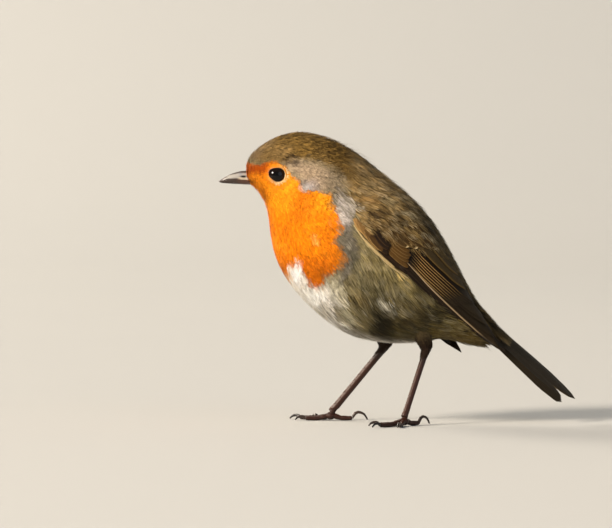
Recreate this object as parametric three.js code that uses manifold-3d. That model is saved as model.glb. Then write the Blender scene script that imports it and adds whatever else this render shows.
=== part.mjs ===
// A European robin at life size, standing still as a museum model.
// Millimetres, +Z up. The bird looks along -X, its left side is the -Y side, and it stands on z = 0.
import * as THREE from "three";
import { mergeVertices } from "three/addons/utils/BufferGeometryUtils.js";
import Module from "manifold-3d";

const wasm = await Module();
wasm.setup();

// ---------------------------------------------------------------- driving sizes

const partGap = 0.3; // between two solids that meet

// The body, rib by rib from the bill to the tail. Each rib runs from the back's outline to the
// belly's, as x and z. Its ring is widest at a share of the rib's length below the back.
const ribs = [
  { name: "bill base", back: [-40.2, 82.1], belly: [-39.7, 77.7], halfWidth: 2.4, widest: 0.5 },
  { name: "face", back: [-39.5, 85.3], belly: [-38.1, 76.4], halfWidth: 4.6, widest: 0.55 },
  { name: "forehead", back: [-37.3, 88.2], belly: [-36.0, 74.3], halfWidth: 6.9, widest: 0.55 },
  { name: "lores", back: [-34.0, 90.5], belly: [-34.2, 71.2], halfWidth: 8.7, widest: 0.52 },
  { name: "eye", back: [-29.5, 92.9], belly: [-32.9, 67.0], halfWidth: 10.0, widest: 0.5 },
  { name: "crown", back: [-22.6, 94.4], belly: [-32.2, 61.0], halfWidth: 11.4, widest: 0.46 },
  { name: "nape", back: [-13.5, 92.8], belly: [-30.8, 54.0], halfWidth: 13.6, widest: 0.5 },
  { name: "hindneck", back: [-5.8, 88.8], belly: [-27.7, 47.4], halfWidth: 17.0, widest: 0.55 },
  { name: "shoulders", back: [2.5, 81.7], belly: [-23.0, 41.1], halfWidth: 20.2, widest: 0.56 },
  { name: "mantle", back: [14.3, 72.0], belly: [-15.6, 34.1], halfWidth: 22.0, widest: 0.56 },
  { name: "back", back: [22.3, 61.9], belly: [-5.8, 27.9], halfWidth: 21.4, widest: 0.55 },
  { name: "lower back", back: [28.7, 50.2], belly: [7.4, 25.6], halfWidth: 18.2, widest: 0.55 },
  { name: "rump", back: [33.4, 41.2], belly: [20.5, 26.1], halfWidth: 13.2, widest: 0.52 },
  { name: "vent", back: [37.7, 35.6], belly: [32.3, 24.8], halfWidth: 8.6, widest: 0.5 },
  { name: "tail coverts", back: [41.0, 32.3], belly: [38.6, 24.0], halfWidth: 5.8, widest: 0.45 },
  { name: "covert tips", back: [44.2, 29.2], belly: [42.4, 24.6], halfWidth: 4.0, widest: 0.45 },
];
const bodySides = 28;
const bodyRings = 37;
const ringFullness = 2.15; // 2 is an ellipse, and more is squarer

// The cuts that part the body, each through two points of the side view, as x and z.
const headCut = { back: [-12.4, 92.8], front: [-34.6, 69.6] };
const neckCut = { back: [2.0, 83.0], front: [-30.6, 51.6] };
const rumpCut = { back: [29.4, 48.2], front: [20.6, 25.0] };

const eyeRadius = 3.4;
const eyeCentre = { x: -30, y: 7.6, z: 80 };

// The bill in side view from the face to its tip, as x and z: the upper half's ridge, the line
// on which the halves close, and the lower half's keel.
const billRidge = [[-37.4, 81.6], [-41.6, 81.3], [-45.4, 80.1], [-48.7, 78.0]];
const billMouth = [[-37.4, 77.9], [-41.6, 78.5], [-45.4, 78.5], [-48.8, 77.8]];
const billKeel = [[-37.4, 76.6], [-41.6, 77.0], [-45.2, 77.2], [-48.4, 77.5]];
const billHalfWidth = 2.3;
const billSeam = 0.12; // the gap between the halves

// The left wing folded on the body, station by station from its bend to its tip: its lower and
// upper edges as x and z, how far its face stands off the body, and its least half width.
const wingStations = [
  { name: "bend", lower: [-5.4, 64.6], upper: [-3.4, 71.6], proud: 1.1, least: 0 },
  { name: "wrist", lower: [-2.2, 60.3], upper: [5.2, 74.0], proud: 1.6, least: 0 },
  { name: "coverts", lower: [4.6, 53.6], upper: [13.2, 68.6], proud: 2.0, least: 0 },
  { name: "tertials", lower: [12.0, 48.0], upper: [20.8, 60.0], proud: 2.1, least: 0 },
  { name: "secondaries", lower: [20.0, 41.7], upper: [26.8, 50.2], proud: 2.1, least: 4 },
  { name: "secondary tips", lower: [28.4, 35.0], upper: [32.4, 41.2], proud: 2.0, least: 7.2 },
  { name: "primaries", lower: [36.6, 28.2], upper: [38.4, 31.8], proud: 1.8, least: 7.0 },
  { name: "tip", lower: [42.6, 21.8], upper: [43.2, 22.9], proud: 1.5, least: 6.6 },
];
const wingRows = 20;
const wingColumns = 7;
const wingEdgeShare = 0.55; // a wing's edges stand off by this share of its middle
const rightWingSlip = { x: -13.0, z: 0.5 }; // the right wing droops ahead of the left one

const tailPairs = 6; // of feathers
const tailLength = 44.6;
const tailFeatherWidth = 6.0;
const tailFan = 0.55; // degrees between neighbours
const tailPitch = 42.5; // degrees below the horizon
const tailRoll = 24; // degrees, the left edge down
const tailRoot = { x: 32.3, z: 36.2 };
const leftTailLag = 2.9; // the left half ends this much short of the right one

// Where each leg's joints lie. The middle toe heads this many degrees from -X towards +Y, and
// the hind toe is turned from it by hindTurn.
const legs = {
  left: {
    side: -1,
    hip: [14.6, -11.2, 35.4],
    heel: [18.2, -9.2, 24.6],
    foot: [10.7, -18.0, 2.5],
    heading: -46,
    hindTurn: 180,
  },
  right: {
    side: 1,
    hip: [3.6, 11.2, 35.6],
    heel: [5.2, 10.2, 24.4],
    foot: [-12.6, 12.8, 2.5],
    heading: 26,
    hindTurn: 158,
  },
};
const tarsusRadius = 0.92;
const toes = [
  { name: "hind", length: 7.0, claw: 4.9, arch: 2.7, radius: 0.95 },
  { name: "inner", turn: -33, length: 8.2, claw: 3.3, arch: 1.4, radius: 0.85 },
  { name: "middle", turn: 0, length: 11.0, claw: 3.6, arch: 1.4, radius: 0.9 },
  { name: "outer", turn: 34, length: 8.8, claw: 3.2, arch: 1.4, radius: 0.8 },
];
const padPress = 0.12; // how deep a toe's pads are flattened by the floor

// ---------------------------------------------------------------- solids

function solidOf(geometry) {
  const bare = geometry.clone();
  bare.deleteAttribute("normal");
  bare.deleteAttribute("uv");
  const merged = mergeVertices(bare, 1e-4);
  return new wasm.Manifold(
    new wasm.Mesh({
      numProp: 3,
      vertProperties: merged.attributes.position.array,
      triVerts: new Uint32Array(merged.index.array),
    }),
  );
}

function geometryOf(solid) {
  const { numProp, numVert, vertProperties, triVerts } = solid.getMesh();
  const places = new Float32Array(numVert * 3);
  for (let i = 0; i < numVert; i++) {
    places.set(vertProperties.subarray(i * numProp, i * numProp + 3), i * 3);
  }
  const geometry = new THREE.BufferGeometry();
  geometry.setAttribute("position", new THREE.BufferAttribute(places, 3));
  geometry.setIndex(new THREE.BufferAttribute(new Uint32Array(triVerts), 1));
  geometry.computeVertexNormals();
  return geometry;
}

// Moves every vertex of a geometry to the place that a function gives for it.
function reshape(geometry, placeOf) {
  const places = geometry.attributes.position;
  const point = new THREE.Vector3();
  for (let i = 0; i < places.count; i++) {
    point.fromBufferAttribute(places, i);
    point.copy(placeOf(point));
    places.setXYZ(i, point.x, point.y, point.z);
  }
  return geometry;
}

// A solid whose faces look out, whichever way round its shape was drawn.
function facingOut(geometry) {
  const solid = solidOf(geometry);
  if (solid.volume() > 0) return solid;
  const index = geometry.index.array;
  for (let i = 0; i < index.length; i += 3) {
    [index[i + 1], index[i + 2]] = [index[i + 2], index[i + 1]];
  }
  return solidOf(geometry);
}

// The largest piece of a solid that a cut has left in several.
function mainPiece(solid) {
  return solid.decompose().sort((a, b) => b.volume() - a.volume())[0];
}

// Keeps what lies on the back's side (side = 1 is towards the bill) of a cut across the body.
function beside(solid, cut, side) {
  const dx = cut.back[0] - cut.front[0];
  const dz = cut.back[1] - cut.front[1];
  const length = Math.hypot(dx, dz);
  const normal = [(-dz / length) * side, 0, (dx / length) * side];
  const offset = normal[0] * cut.front[0] + normal[2] * cut.front[1];
  return solid.trimByPlane(normal, offset + partGap / 2);
}

const vector = (list) => new THREE.Vector3(...list);
const radians = THREE.MathUtils.degToRad;
const curveThrough = (points) => new THREE.CatmullRomCurve3(points, false, "catmullrom", 0.5);
const sideCurve = (points) => curveThrough(points.map(([x, z]) => new THREE.Vector3(x, 0, z)));

// ---------------------------------------------------------------- body

const backEdge = sideCurve(ribs.map(({ back }) => back));
const bellyEdge = sideCurve(ribs.map(({ belly }) => belly));
const girth = sideCurve(ribs.map(({ halfWidth, widest }) => [halfWidth, widest]));

function ribAt(t) {
  const back = backEdge.getPoint(t);
  const belly = bellyEdge.getPoint(t);
  const { x: halfWidth, z: widest } = girth.getPoint(t);
  const length = back.distanceTo(belly);
  const up = back.clone().sub(belly).divideScalar(length);
  const centre = back.clone().lerp(belly, widest);
  return { centre, up, above: widest * length, below: (1 - widest) * length, halfWidth };
}

// A point of the body's surface: angle 0 is the back and PI the belly, on the +Y side.
function bodyPoint(t, angle, grow, share) {
  const rib = ribAt(t);
  const squared = (x) => Math.sign(x) * Math.abs(x) ** (2 / ringFullness);
  const rise = squared(Math.cos(angle));
  const reach = rise > 0 ? rib.above : rib.below;
  return rib.centre
    .clone()
    .addScaledVector(rib.up, rise * (reach + grow) * share)
    .add(new THREE.Vector3(0, squared(Math.sin(angle)) * (rib.halfWidth + grow) * share, 0));
}

function bodySolid(grow = 0) {
  const tube = new THREE.CylinderGeometry(1, 1, 1, bodySides, bodyRings);
  return facingOut(
    reshape(tube, (p) => {
      const share = Math.min(1, Math.hypot(p.x, p.z));
      const end = Math.sign(-p.y) * (Math.abs(p.y) > 0.499 ? grow : 0);
      const place = bodyPoint(0.5 - p.y, Math.atan2(p.z, p.x), grow, share);
      return place.add(new THREE.Vector3(end, 0, 0));
    }),
  );
}

// The rib that passes through a point of the side view, and where on it the point lies.
function ribThrough(x, z) {
  const sideOf = (t) => {
    const back = backEdge.getPoint(t);
    const belly = bellyEdge.getPoint(t);
    return (belly.x - back.x) * (z - back.z) - (belly.z - back.z) * (x - back.x);
  };
  let low = 0;
  let high = 1;
  const ahead = Math.sign(sideOf(low));
  for (let i = 0; i < 24; i++) {
    const middle = (low + high) / 2;
    if (Math.sign(sideOf(middle)) === ahead) low = middle;
    else high = middle;
  }
  const rib = ribAt((low + high) / 2);
  const rise = (x - rib.centre.x) * rib.up.x + (z - rib.centre.z) * rib.up.z;
  const share = Math.min(1, Math.abs(rise) / (rise > 0 ? rib.above : rib.below));
  return { rib, rise, share };
}

const inflatedBody = bodySolid(partGap);

function eyeSolid(side, grow = 0) {
  const ball = new THREE.SphereGeometry(eyeRadius + grow, 16, 9);
  ball.rotateX(Math.PI / 2);
  ball.translate(eyeCentre.x, side * eyeCentre.y, eyeCentre.z);
  return solidOf(ball);
}

function bodyNodes() {
  const whole = bodySolid();
  const rightSocket = eyeSolid(1, partGap);
  const leftSocket = eyeSolid(-1, partGap);
  const head = beside(whole, headCut, 1).subtract(rightSocket).subtract(leftSocket);
  const neck = beside(beside(whole, headCut, -1), neckCut, 1);
  const trunk = beside(beside(whole, neckCut, -1), rumpCut, 1);
  const rump = beside(whole, rumpCut, -1);
  return { head, neck, trunk, rump };
}

// ---------------------------------------------------------------- bill

// Half of the bill, between the line on which it closes and its own edge in side view. Its
// seam is a flat ribbon, and its back is round.
function billHalf(edgePoints, seamSide) {
  const edge = sideCurve(edgePoints);
  const mouth = sideCurve(billMouth);
  const cone = new THREE.CylinderGeometry(1, 1, 1, 12, 9);
  const shaped = reshape(cone, (p) => {
    const t = 0.5 - p.y;
    const radial = Math.hypot(p.x, p.z);
    const angle = Math.atan2(p.x, p.z);
    const halfWidth = billHalfWidth * (1 - t) ** 0.85 + 0.25;
    const place = mouth.getPoint(t);
    place.z += (seamSide * billSeam) / 2;
    place.lerp(edge.getPoint(t), Math.max(0, Math.cos(angle)) * radial);
    place.y = Math.sin(angle) * radial * halfWidth;
    return place;
  });
  return facingOut(shaped).subtract(inflatedBody);
}

// ---------------------------------------------------------------- wings

const lowerEdge = sideCurve(wingStations.map(({ lower }) => lower));
const upperEdge = sideCurve(wingStations.map(({ upper }) => upper));
const wingForm = sideCurve(wingStations.map(({ proud, least }) => [proud, least]));

// A point of a folded wing on the +Y side: u runs from bend to tip and v from its lower edge to
// its upper one. The wing's inner face keeps clear of the body.
function wingPoint(u, v, outer, slip) {
  const low = lowerEdge.getPoint(u);
  const { x: proud, z: least } = wingForm.getPoint(u);
  const place = low.lerp(upperEdge.getPoint(u), v);
  place.x += slip.x;
  place.z += slip.z;
  const { rib, rise, share } = ribThrough(place.x, place.z);
  const onBody = rib.halfWidth * (1 - share ** ringFullness) ** (1 / ringFullness);
  place.y = Math.max(onBody, least);
  const reach = rise > 0 ? rib.above : rib.below;
  const normal = rib.up.clone().multiplyScalar(onBody >= least ? rise / reach ** 2 : 0);
  normal.y = place.y / rib.halfWidth ** 2;
  normal.normalize();
  const arch = Math.sqrt(Math.sin(Math.PI * THREE.MathUtils.clamp(v, 0, 1)));
  const stand = proud * THREE.MathUtils.lerp(wingEdgeShare, 1, arch);
  const inner = partGap + 0.1;
  return place.addScaledVector(normal, outer ? Math.max(stand, inner + 0.5) : inner);
}

function wingSolid(side) {
  const slip = side > 0 ? rightWingSlip : { x: 0, z: 0 };
  const slab = new THREE.BoxGeometry(1, 1, 1, wingRows, wingColumns, 1);
  const shaped = reshape(slab, (p) => {
    const place = wingPoint(p.x + 0.5, p.y + 0.5, p.z > 0, slip);
    place.y *= side;
    return place;
  });
  return mainPiece(facingOut(shaped).subtract(inflatedBody));
}

// ---------------------------------------------------------------- tail

// One tail feather as a flat blade along +X from its root, with a pointed tip.
function tailFeather(length, width) {
  const half = width / 2;
  const shape = new THREE.Shape();
  shape.moveTo(0, -half * 0.55);
  shape.lineTo(length * 0.62, -half);
  shape.quadraticCurveTo(length * 0.93, -half, length, 0);
  shape.quadraticCurveTo(length * 0.95, half * 0.95, length * 0.86, half);
  shape.lineTo(0, half * 0.55);
  shape.closePath();
  return new THREE.ExtrudeGeometry(shape, { depth: 0.6, bevelEnabled: false, curveSegments: 3 });
}

// The closed tail. Each pair lies under the one inside it.
function tailSolid() {
  let tail = null;
  for (let pair = 0; pair < tailPairs; pair++) {
    for (const side of [-1, 1]) {
      const lag = Math.abs(pair - 3) * 0.5 + (side < 0 ? leftTailLag : 0);
      const blade = tailFeather(tailLength - lag, tailFeatherWidth - pair * 0.15);
      blade.translate(0, side * (0.9 + pair * 0.4), 0);
      blade.rotateZ(radians(side * (1 + pair * tailFan)));
      blade.translate(0, 0, -pair * 0.14);
      blade.rotateX(radians(tailRoll));
      blade.rotateY(radians(tailPitch));
      blade.translate(tailRoot.x, 0, tailRoot.z);
      const solid = solidOf(blade);
      tail = tail ? tail.add(solid) : solid;
    }
  }
  return mainPiece(tail.subtract(inflatedBody));
}

// ---------------------------------------------------------------- legs

// A round limb along a curve, its radius given at each share of its length.
function limb(points, radiusAt, sides, rings, grow = 0) {
  const path = new THREE.CatmullRomCurve3(points);
  const frames = path.computeFrenetFrames(rings, false);
  const tube = new THREE.CylinderGeometry(1, 1, 1, sides, rings);
  const shaped = reshape(tube, (p) => {
    const t = 0.5 - p.y;
    const ring = Math.round(t * rings);
    const radius = radiusAt(t) + grow;
    const end = Math.abs(p.y) > 0.499 ? Math.sign(-p.y) * grow : 0;
    return path
      .getPointAt(t)
      .addScaledVector(frames.normals[ring], p.x * radius)
      .addScaledVector(frames.binormals[ring], p.z * radius)
      .addScaledVector(frames.tangents[ring], end);
  });
  return facingOut(shaped);
}

function thighSolid(leg) {
  const hip = vector(leg.hip);
  const heel = vector(leg.heel);
  const knee = hip.clone().lerp(heel, 0.5).add(new THREE.Vector3(-0.6, 0, 0));
  const radiusAt = (t) => THREE.MathUtils.lerp(4.6, 1.25, t ** 0.8);
  const thigh = limb([hip, knee, heel], radiusAt, 12, 6);
  return mainPiece(thigh.subtract(inflatedBody).subtract(shankSolid(leg, partGap)));
}

function shankSolid(leg, grow = 0) {
  const heel = vector(leg.heel);
  const foot = vector(leg.foot);
  const down = foot.clone().sub(heel).normalize();
  const top = heel.clone().addScaledVector(down, 0.2);
  const bottom = foot.clone().addScaledVector(down, -0.4);
  const heelKnob = (t) => 0.35 * Math.exp(-t / 0.06);
  const footKnob = (t) => 0.25 * Math.exp((t - 1) / 0.06);
  const radiusAt = (t) => tarsusRadius + heelKnob(t) + footKnob(t);
  return limb([top, top.clone().lerp(bottom, 0.5), bottom], radiusAt, 9, 12, grow);
}

// The direction of a toe on the floor.
function toeDirection(leg, toe) {
  const angle = radians(leg.heading + leg.side * (toe.turn ?? leg.hindTurn));
  return new THREE.Vector3(-Math.cos(angle), Math.sin(angle), 0);
}

// A point above a toe's line on the floor, at a distance from the foot's middle.
function toePoint(leg, toe, reach, height) {
  const [x, y] = leg.foot;
  return new THREE.Vector3(x, y, height).addScaledVector(toeDirection(leg, toe), reach);
}

function toeSolid(leg, toe) {
  const rest = toe.radius - padPress;
  const path = [
    toePoint(leg, toe, -0.4, 2.1),
    toePoint(leg, toe, 1.8, 1.35),
    toePoint(leg, toe, toe.length * 0.5, rest),
    toePoint(leg, toe, toe.length, rest),
  ];
  const pads = (t) => 1 + 0.1 * Math.cos(t * Math.PI * 6);
  const endShare = (t) => (t < 0.01 || t > 0.99 ? 0.78 : 1);
  const radiusAt = (t) => toe.radius * pads(t) * (1 - 0.18 * t) * endShare(t);
  return limb(path, radiusAt, 7, 9);
}

// A claw curves up and over from the toe's end, and its tip touches down.
function clawSolid(leg, toe) {
  const start = toe.length + 0.12;
  const path = [
    toePoint(leg, toe, start - 0.5, 0.7),
    toePoint(leg, toe, start + toe.claw * 0.3, toe.arch),
    toePoint(leg, toe, start + toe.claw * 0.75, toe.arch * 0.8),
    toePoint(leg, toe, start + toe.claw, 0.32),
  ];
  const claw = limb(path, (t) => THREE.MathUtils.lerp(0.62, 0.25, t ** 1.2), 6, 7);
  const ahead = toeDirection(leg, toe);
  return claw.trimByPlane(ahead.toArray(), toePoint(leg, toe, start, 0).dot(ahead));
}

function footSolid(leg) {
  const ball = new THREE.SphereGeometry(1.5, 10, 6);
  ball.scale(1.1, 1, 0.9);
  ball.translate(leg.foot[0], leg.foot[1], 1.55);
  const joined = toes.reduce((foot, toe) => foot.add(toeSolid(leg, toe)), solidOf(ball));
  return mainPiece(joined.subtract(shankSolid(leg, partGap)).trimByPlane([0, 0, 1], 0));
}

// ---------------------------------------------------------------- the bird

const finish = (color, roughness) => new THREE.MeshStandardMaterial({ color, roughness, metalness: 0 });
const finishes = {
  olive: finish(0x6f5a3a, 0.85),
  orange: finish(0xe8790f, 0.85),
  flank: finish(0x9a8d6e, 0.85),
  wing: finish(0x4f3b22, 0.7),
  tail: finish(0x3a2d1c, 0.7),
  eye: finish(0x0d0907, 0.06),
  bill: finish(0x2a2220, 0.35),
  leg: finish(0x59301f, 0.45),
  claw: finish(0x2b1a14, 0.35),
};

const bird = new THREE.Group();

function addNode(name, solid, material) {
  const mesh = new THREE.Mesh(geometryOf(solid), material);
  mesh.name = name;
  bird.add(mesh);
}

const { head, neck, trunk, rump } = bodyNodes();
addNode("head", head, finishes.olive);
addNode("neck", neck, finishes.orange);
addNode("trunk", trunk, finishes.flank);
addNode("rump", rump, finishes.olive);
addNode("bill_upper", billHalf(billRidge, 1), finishes.bill);
addNode("bill_lower", billHalf(billKeel, -1), finishes.bill);
addNode("tail", tailSolid(), finishes.tail);

for (const [sideName, leg] of Object.entries(legs)) {
  addNode(`eye_${sideName}`, eyeSolid(leg.side), finishes.eye);
  addNode(`wing_${sideName}`, wingSolid(leg.side), finishes.wing);
  addNode(`thigh_${sideName}`, thighSolid(leg), finishes.olive);
  addNode(`shank_${sideName}`, shankSolid(leg), finishes.leg);
  addNode(`foot_${sideName}`, footSolid(leg), finishes.leg);
  for (const toe of toes) {
    addNode(`claw_${toe.name}_${sideName}`, clawSolid(leg, toe), finishes.claw);
  }
}

// The origin is the middle of the bird's box, on the floor.
const box = new THREE.Box3().setFromObject(bird, true);
const middle = box.getCenter(new THREE.Vector3());
bird.position.set(-middle.x, -middle.y, -box.min.z);

export default bird;
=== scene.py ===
import math
from types import SimpleNamespace

import bmesh
import bpy
import numpy as np
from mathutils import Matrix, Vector
from mathutils.bvhtree import BVHTree


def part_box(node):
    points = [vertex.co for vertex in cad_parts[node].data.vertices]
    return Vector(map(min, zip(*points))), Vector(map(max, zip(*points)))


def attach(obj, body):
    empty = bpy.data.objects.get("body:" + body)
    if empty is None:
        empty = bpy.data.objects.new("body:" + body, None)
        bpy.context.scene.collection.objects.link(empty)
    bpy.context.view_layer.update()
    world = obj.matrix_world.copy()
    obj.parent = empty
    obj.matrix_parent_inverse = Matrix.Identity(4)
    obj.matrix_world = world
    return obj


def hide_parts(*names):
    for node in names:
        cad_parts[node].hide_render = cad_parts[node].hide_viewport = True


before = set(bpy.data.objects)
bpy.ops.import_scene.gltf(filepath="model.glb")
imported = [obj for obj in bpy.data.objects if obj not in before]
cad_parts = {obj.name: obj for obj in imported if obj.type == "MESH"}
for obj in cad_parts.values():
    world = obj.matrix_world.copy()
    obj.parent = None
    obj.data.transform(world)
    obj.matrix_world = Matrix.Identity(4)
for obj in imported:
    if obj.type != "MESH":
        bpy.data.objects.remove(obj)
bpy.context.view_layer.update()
scene = bpy.context.scene
mm = 0.001
rng = np.random.default_rng(7)
sides = {"left": -1, "right": 1}

# The bird's own millimetres: x back from the bill, y to its right, z up, hung on its eyes
eye = {"x": -30, "y": 7.6, "z": 80}
eyeMiddle = sum((Vector(corner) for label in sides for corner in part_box("eye_" + label)), Vector()) / 4
birdOrigin = np.array(eyeMiddle) - np.array([eye["x"], 0, eye["z"]]) * mm


def toRow(points):
    return np.asarray(points, float) * mm + birdOrigin


def toBird(points):
    return (np.asarray(points, float) - birdOrigin) / mm


def linear(hexColour):
    parts = np.array([int(hexColour[i:i + 2], 16) / 255 for i in (0, 2, 4)])
    return np.where(parts <= 0.04045, parts / 12.92, ((parts + 0.055) / 1.055) ** 2.4)


def smooth(low, high, value):
    t = np.clip((value - low) / (high - low), 0, 1)
    return t * t * (3 - 2 * t)


def mix(first, second, share):
    share = np.asarray(share)[..., None]
    return first * (1 - share) + second * share


def blendTo(colour, *layers):
    for hexColour, amount in zip(layers[::2], layers[1::2]):  # each colour is followed by its amount
        colour = mix(colour, linear(hexColour), amount)
    return colour


def plain(hexColour, points):
    return np.tile(linear(hexColour), (len(points), 1))


def unit(vectors):
    return vectors / (np.linalg.norm(vectors, axis=-1, keepdims=True) + 1e-12)


def pickOnly(*objects):
    bpy.ops.object.select_all(action="DESELECT")
    for item in objects:
        item.select_set(True)
    bpy.context.view_layer.objects.active = objects[0]


def applyModifier(item, kind, **settings):
    pickOnly(item)
    modifier = item.modifiers.new(kind.title(), kind)
    for key, value in settings.items():
        setattr(modifier, key, value)
    bpy.ops.object.modifier_apply(modifier=modifier.name)


def grow(item, distance):
    applyModifier(item, "DISPLACE", strength=distance * mm, mid_level=0)


def resurface(item, voxel, rounds, factor=0.5):
    applyModifier(item, "REMESH", mode="VOXEL", voxel_size=voxel * mm)
    applyModifier(item, "SMOOTH", factor=factor, iterations=rounds)


def meshPoints(item, key="co"):
    points = np.empty(len(item.data.vertices) * 3)
    item.data.vertices.foreach_get(key, points)
    return points.reshape(-1, 3)


def setMeshPoints(item, points):
    item.data.vertices.foreach_set("co", np.ascontiguousarray(points, float).ravel())
    item.data.update()


def setTint(item, colours):
    tint = item.data.color_attributes.new("plumage", "FLOAT_COLOR", "POINT")
    tint.data.foreach_set("color", np.column_stack([np.clip(colours, 0, 1), np.ones(len(colours))]).ravel())


def copyNodes(name, *nodes):
    copies = []
    for node in nodes:
        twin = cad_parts[node].copy()
        twin.data = twin.data.copy()
        for key in list(twin.keys()):
            del twin[key]
        scene.collection.objects.link(twin)
        twin.hide_viewport = twin.hide_render = False
        twin.hide_set(False)
        copies.append(twin)
    pickOnly(*copies)
    if len(copies) > 1:
        bpy.ops.object.join()
    item = bpy.context.view_layer.objects.active
    item.name = item.data.name = name
    item.data.materials.clear()
    bpy.ops.object.mode_set(mode="EDIT")
    bpy.ops.mesh.select_all(action="SELECT")
    bpy.ops.mesh.remove_doubles(threshold=1e-6)
    bpy.ops.object.mode_set(mode="OBJECT")
    return item


def finishPiece(item, slot, material, *nodes, colours=None):
    if colours is not None:
        setTint(item, colours)
        pickOnly(item)
        bpy.ops.object.shade_smooth()
    item.data.materials.append(material)
    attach(item, "root")
    if nodes:
        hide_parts(*nodes)
    print("stage:", item.name, len(item.data.polygons), "faces")


def addNode(tree, kind, values=None, links=None, **settings):
    node = tree.nodes.new(kind)
    for key, value in settings.items():
        setattr(node, key, value)
    for socket, value in (values or {}).items():
        node.inputs[socket].default_value = value
    for socket, source in (links or {}).items():
        tree.links.new(source, node.inputs[socket])
    return node


def newMaterial(name, sockets):
    material = bpy.data.materials.new(name)
    material.use_nodes = True
    shader = material.node_tree.nodes["Principled BSDF"]
    for socket, value in sockets.items():
        shader.inputs[socket].default_value = value
    return material, material.node_tree, shader


def newSurface(name, sockets, *textures):
    material, tree, shader = newMaterial(name, sockets)
    tint = addNode(tree, "ShaderNodeAttribute", attribute_name="plumage").outputs["Color"]
    for texture in textures:  # each one flecks the tint, raises a bump or does both
        if texture["on"] == "Object":
            place = addNode(tree, "ShaderNodeTexCoord").outputs["Object"]
        else:
            place = addNode(tree, "ShaderNodeUVMap", uv_map=texture["on"]).outputs["UV"]
        node = addNode(tree, texture["kind"], texture["values"], {"Vector": place})
        pattern = node.outputs[texture["gives"]]
        if "fleck" in texture:
            fleck = addNode(tree, "ShaderNodeMapRange", texture["fleck"], {"Value": pattern}).outputs["Result"]
            scaled = addNode(tree, "ShaderNodeVectorMath", {}, {0: tint, 3: fleck}, operation="SCALE")
            tint = scaled.outputs["Vector"]
        if "bump" in texture:
            bump = addNode(tree, "ShaderNodeBump", texture["bump"], {"Height": pattern})
            tree.links.new(bump.outputs["Normal"], shader.inputs["Normal"])
    tree.links.new(tint, shader.inputs["Base Color"])
    return material


# Camera, floor and lights
camera = {"target": (-20.6, 0, 51.3), "distance": 2000, "elevation": 2, "width": 197.4, "sensor": 36}
cameraData = bpy.data.cameras.new("camera")
cameraObject = bpy.data.objects.new("camera", cameraData)
scene.collection.objects.link(cameraObject)
target = Vector(toRow(camera["target"]))
lift = math.radians(camera["elevation"])
cameraObject.location = target + Vector((0, -math.cos(lift), math.sin(lift))) * camera["distance"] * mm
cameraObject.rotation_euler = (math.pi / 2 - lift, 0, 0)
cameraData.sensor_width = camera["sensor"]
cameraData.lens = camera["sensor"] * camera["distance"] / camera["width"]
cameraData.clip_end = 30
scene.camera = cameraObject

floorSize = {"wide": 9, "front": -5, "back": 2.6, "sweep": 1.2, "height": 5}
bpy.ops.object.select_all(action="DESELECT")
bpy.ops.mesh.primitive_plane_add(size=1, location=(0, 0, 0))
floor = bpy.context.object
floor.name = "floor"
bpy.ops.object.mode_set(mode="EDIT")
bpy.ops.mesh.select_all(action="SELECT")
bpy.ops.transform.resize(value=(floorSize["wide"], floorSize["back"] - floorSize["front"], 1))
bpy.ops.transform.translate(value=(0, (floorSize["back"] + floorSize["front"]) / 2, 0))


def pickEdges(item, test):
    edit = bmesh.from_edit_mesh(item.data)
    for part in [*edit.faces, *edit.edges, *edit.verts]:
        part.select = False
    for edge in edit.edges:
        if all(test(vert.co) for vert in edge.verts):
            edge.select = True
    bmesh.update_edit_mesh(item.data)


pickEdges(floor, lambda co: co.y > floorSize["back"] - 0.01)
bpy.ops.mesh.extrude_edges_move(TRANSFORM_OT_translate={"value": (0, 0, floorSize["height"])})
pickEdges(floor, lambda co: co.y > floorSize["back"] - 0.01 and co.z < 0.01)
bpy.ops.mesh.bevel(offset=floorSize["sweep"], segments=24, affect="EDGES")
bpy.ops.mesh.select_all(action="SELECT")
bpy.ops.mesh.normals_make_consistent(inside=False)
bpy.ops.object.mode_set(mode="OBJECT")
bpy.ops.object.shade_smooth()
rolledPaint = {"Roughness": 0.9, "Specular IOR Level": 0.2}
floorPaint, tree, shader = newMaterial("paleMattPaint", rolledPaint)  # even, no gloss
place = addNode(tree, "ShaderNodeTexCoord").outputs["Object"]
cloud = addNode(tree, "ShaderNodeTexNoise", {"Scale": 2.0, "Detail": 2.0}, {"Vector": place})
paint = addNode(tree, "ShaderNodeValToRGB", {}, {"Fac": cloud.outputs["Fac"]})
for stop, hexColour in zip(paint.color_ramp.elements, ("bcbcb9", "c1c0bc")):
    stop.color = (*linear(hexColour), 1)
tree.links.new(paint.outputs["Color"], shader.inputs["Base Color"])
floor.data.materials.append(floorPaint)

lights = {
    "key": {"at": (-3100, -2300, 2300), "size": 1300, "watts": 300, "colour": "fff1df"},
    "fill": {"at": (2600, -3200, 1500), "size": 3200, "watts": 24, "colour": "edf2ff"},
    "rim": {"at": (-2200, 2000, 1500), "size": 1200, "watts": 75, "colour": "fff4e4"},
}
for name, light in lights.items():
    lightData = bpy.data.lights.new(name, "AREA")
    lightData.shape = "DISK"
    lightData.size = light["size"] * mm
    lightData.energy = light["watts"]
    lightData.color = linear(light["colour"])
    lamp = bpy.data.objects.new(name, lightData)
    scene.collection.objects.link(lamp)
    lamp.location = Vector(toRow(light["at"]))
    lamp.rotation_euler = (Vector(toRow((0, 0, 50))) - lamp.location).to_track_quat("-Z", "Y").to_euler()
scene.world = bpy.data.worlds.new("studio")
scene.world.use_nodes = True
backdrop = scene.world.node_tree.nodes["Background"]
backdrop.inputs["Color"].default_value = (*linear("e9edf2"), 1)
backdrop.inputs["Strength"].default_value = 0.34
scene.view_settings.view_transform = "Standard"
print("stage: camera, floor and lights")

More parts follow.
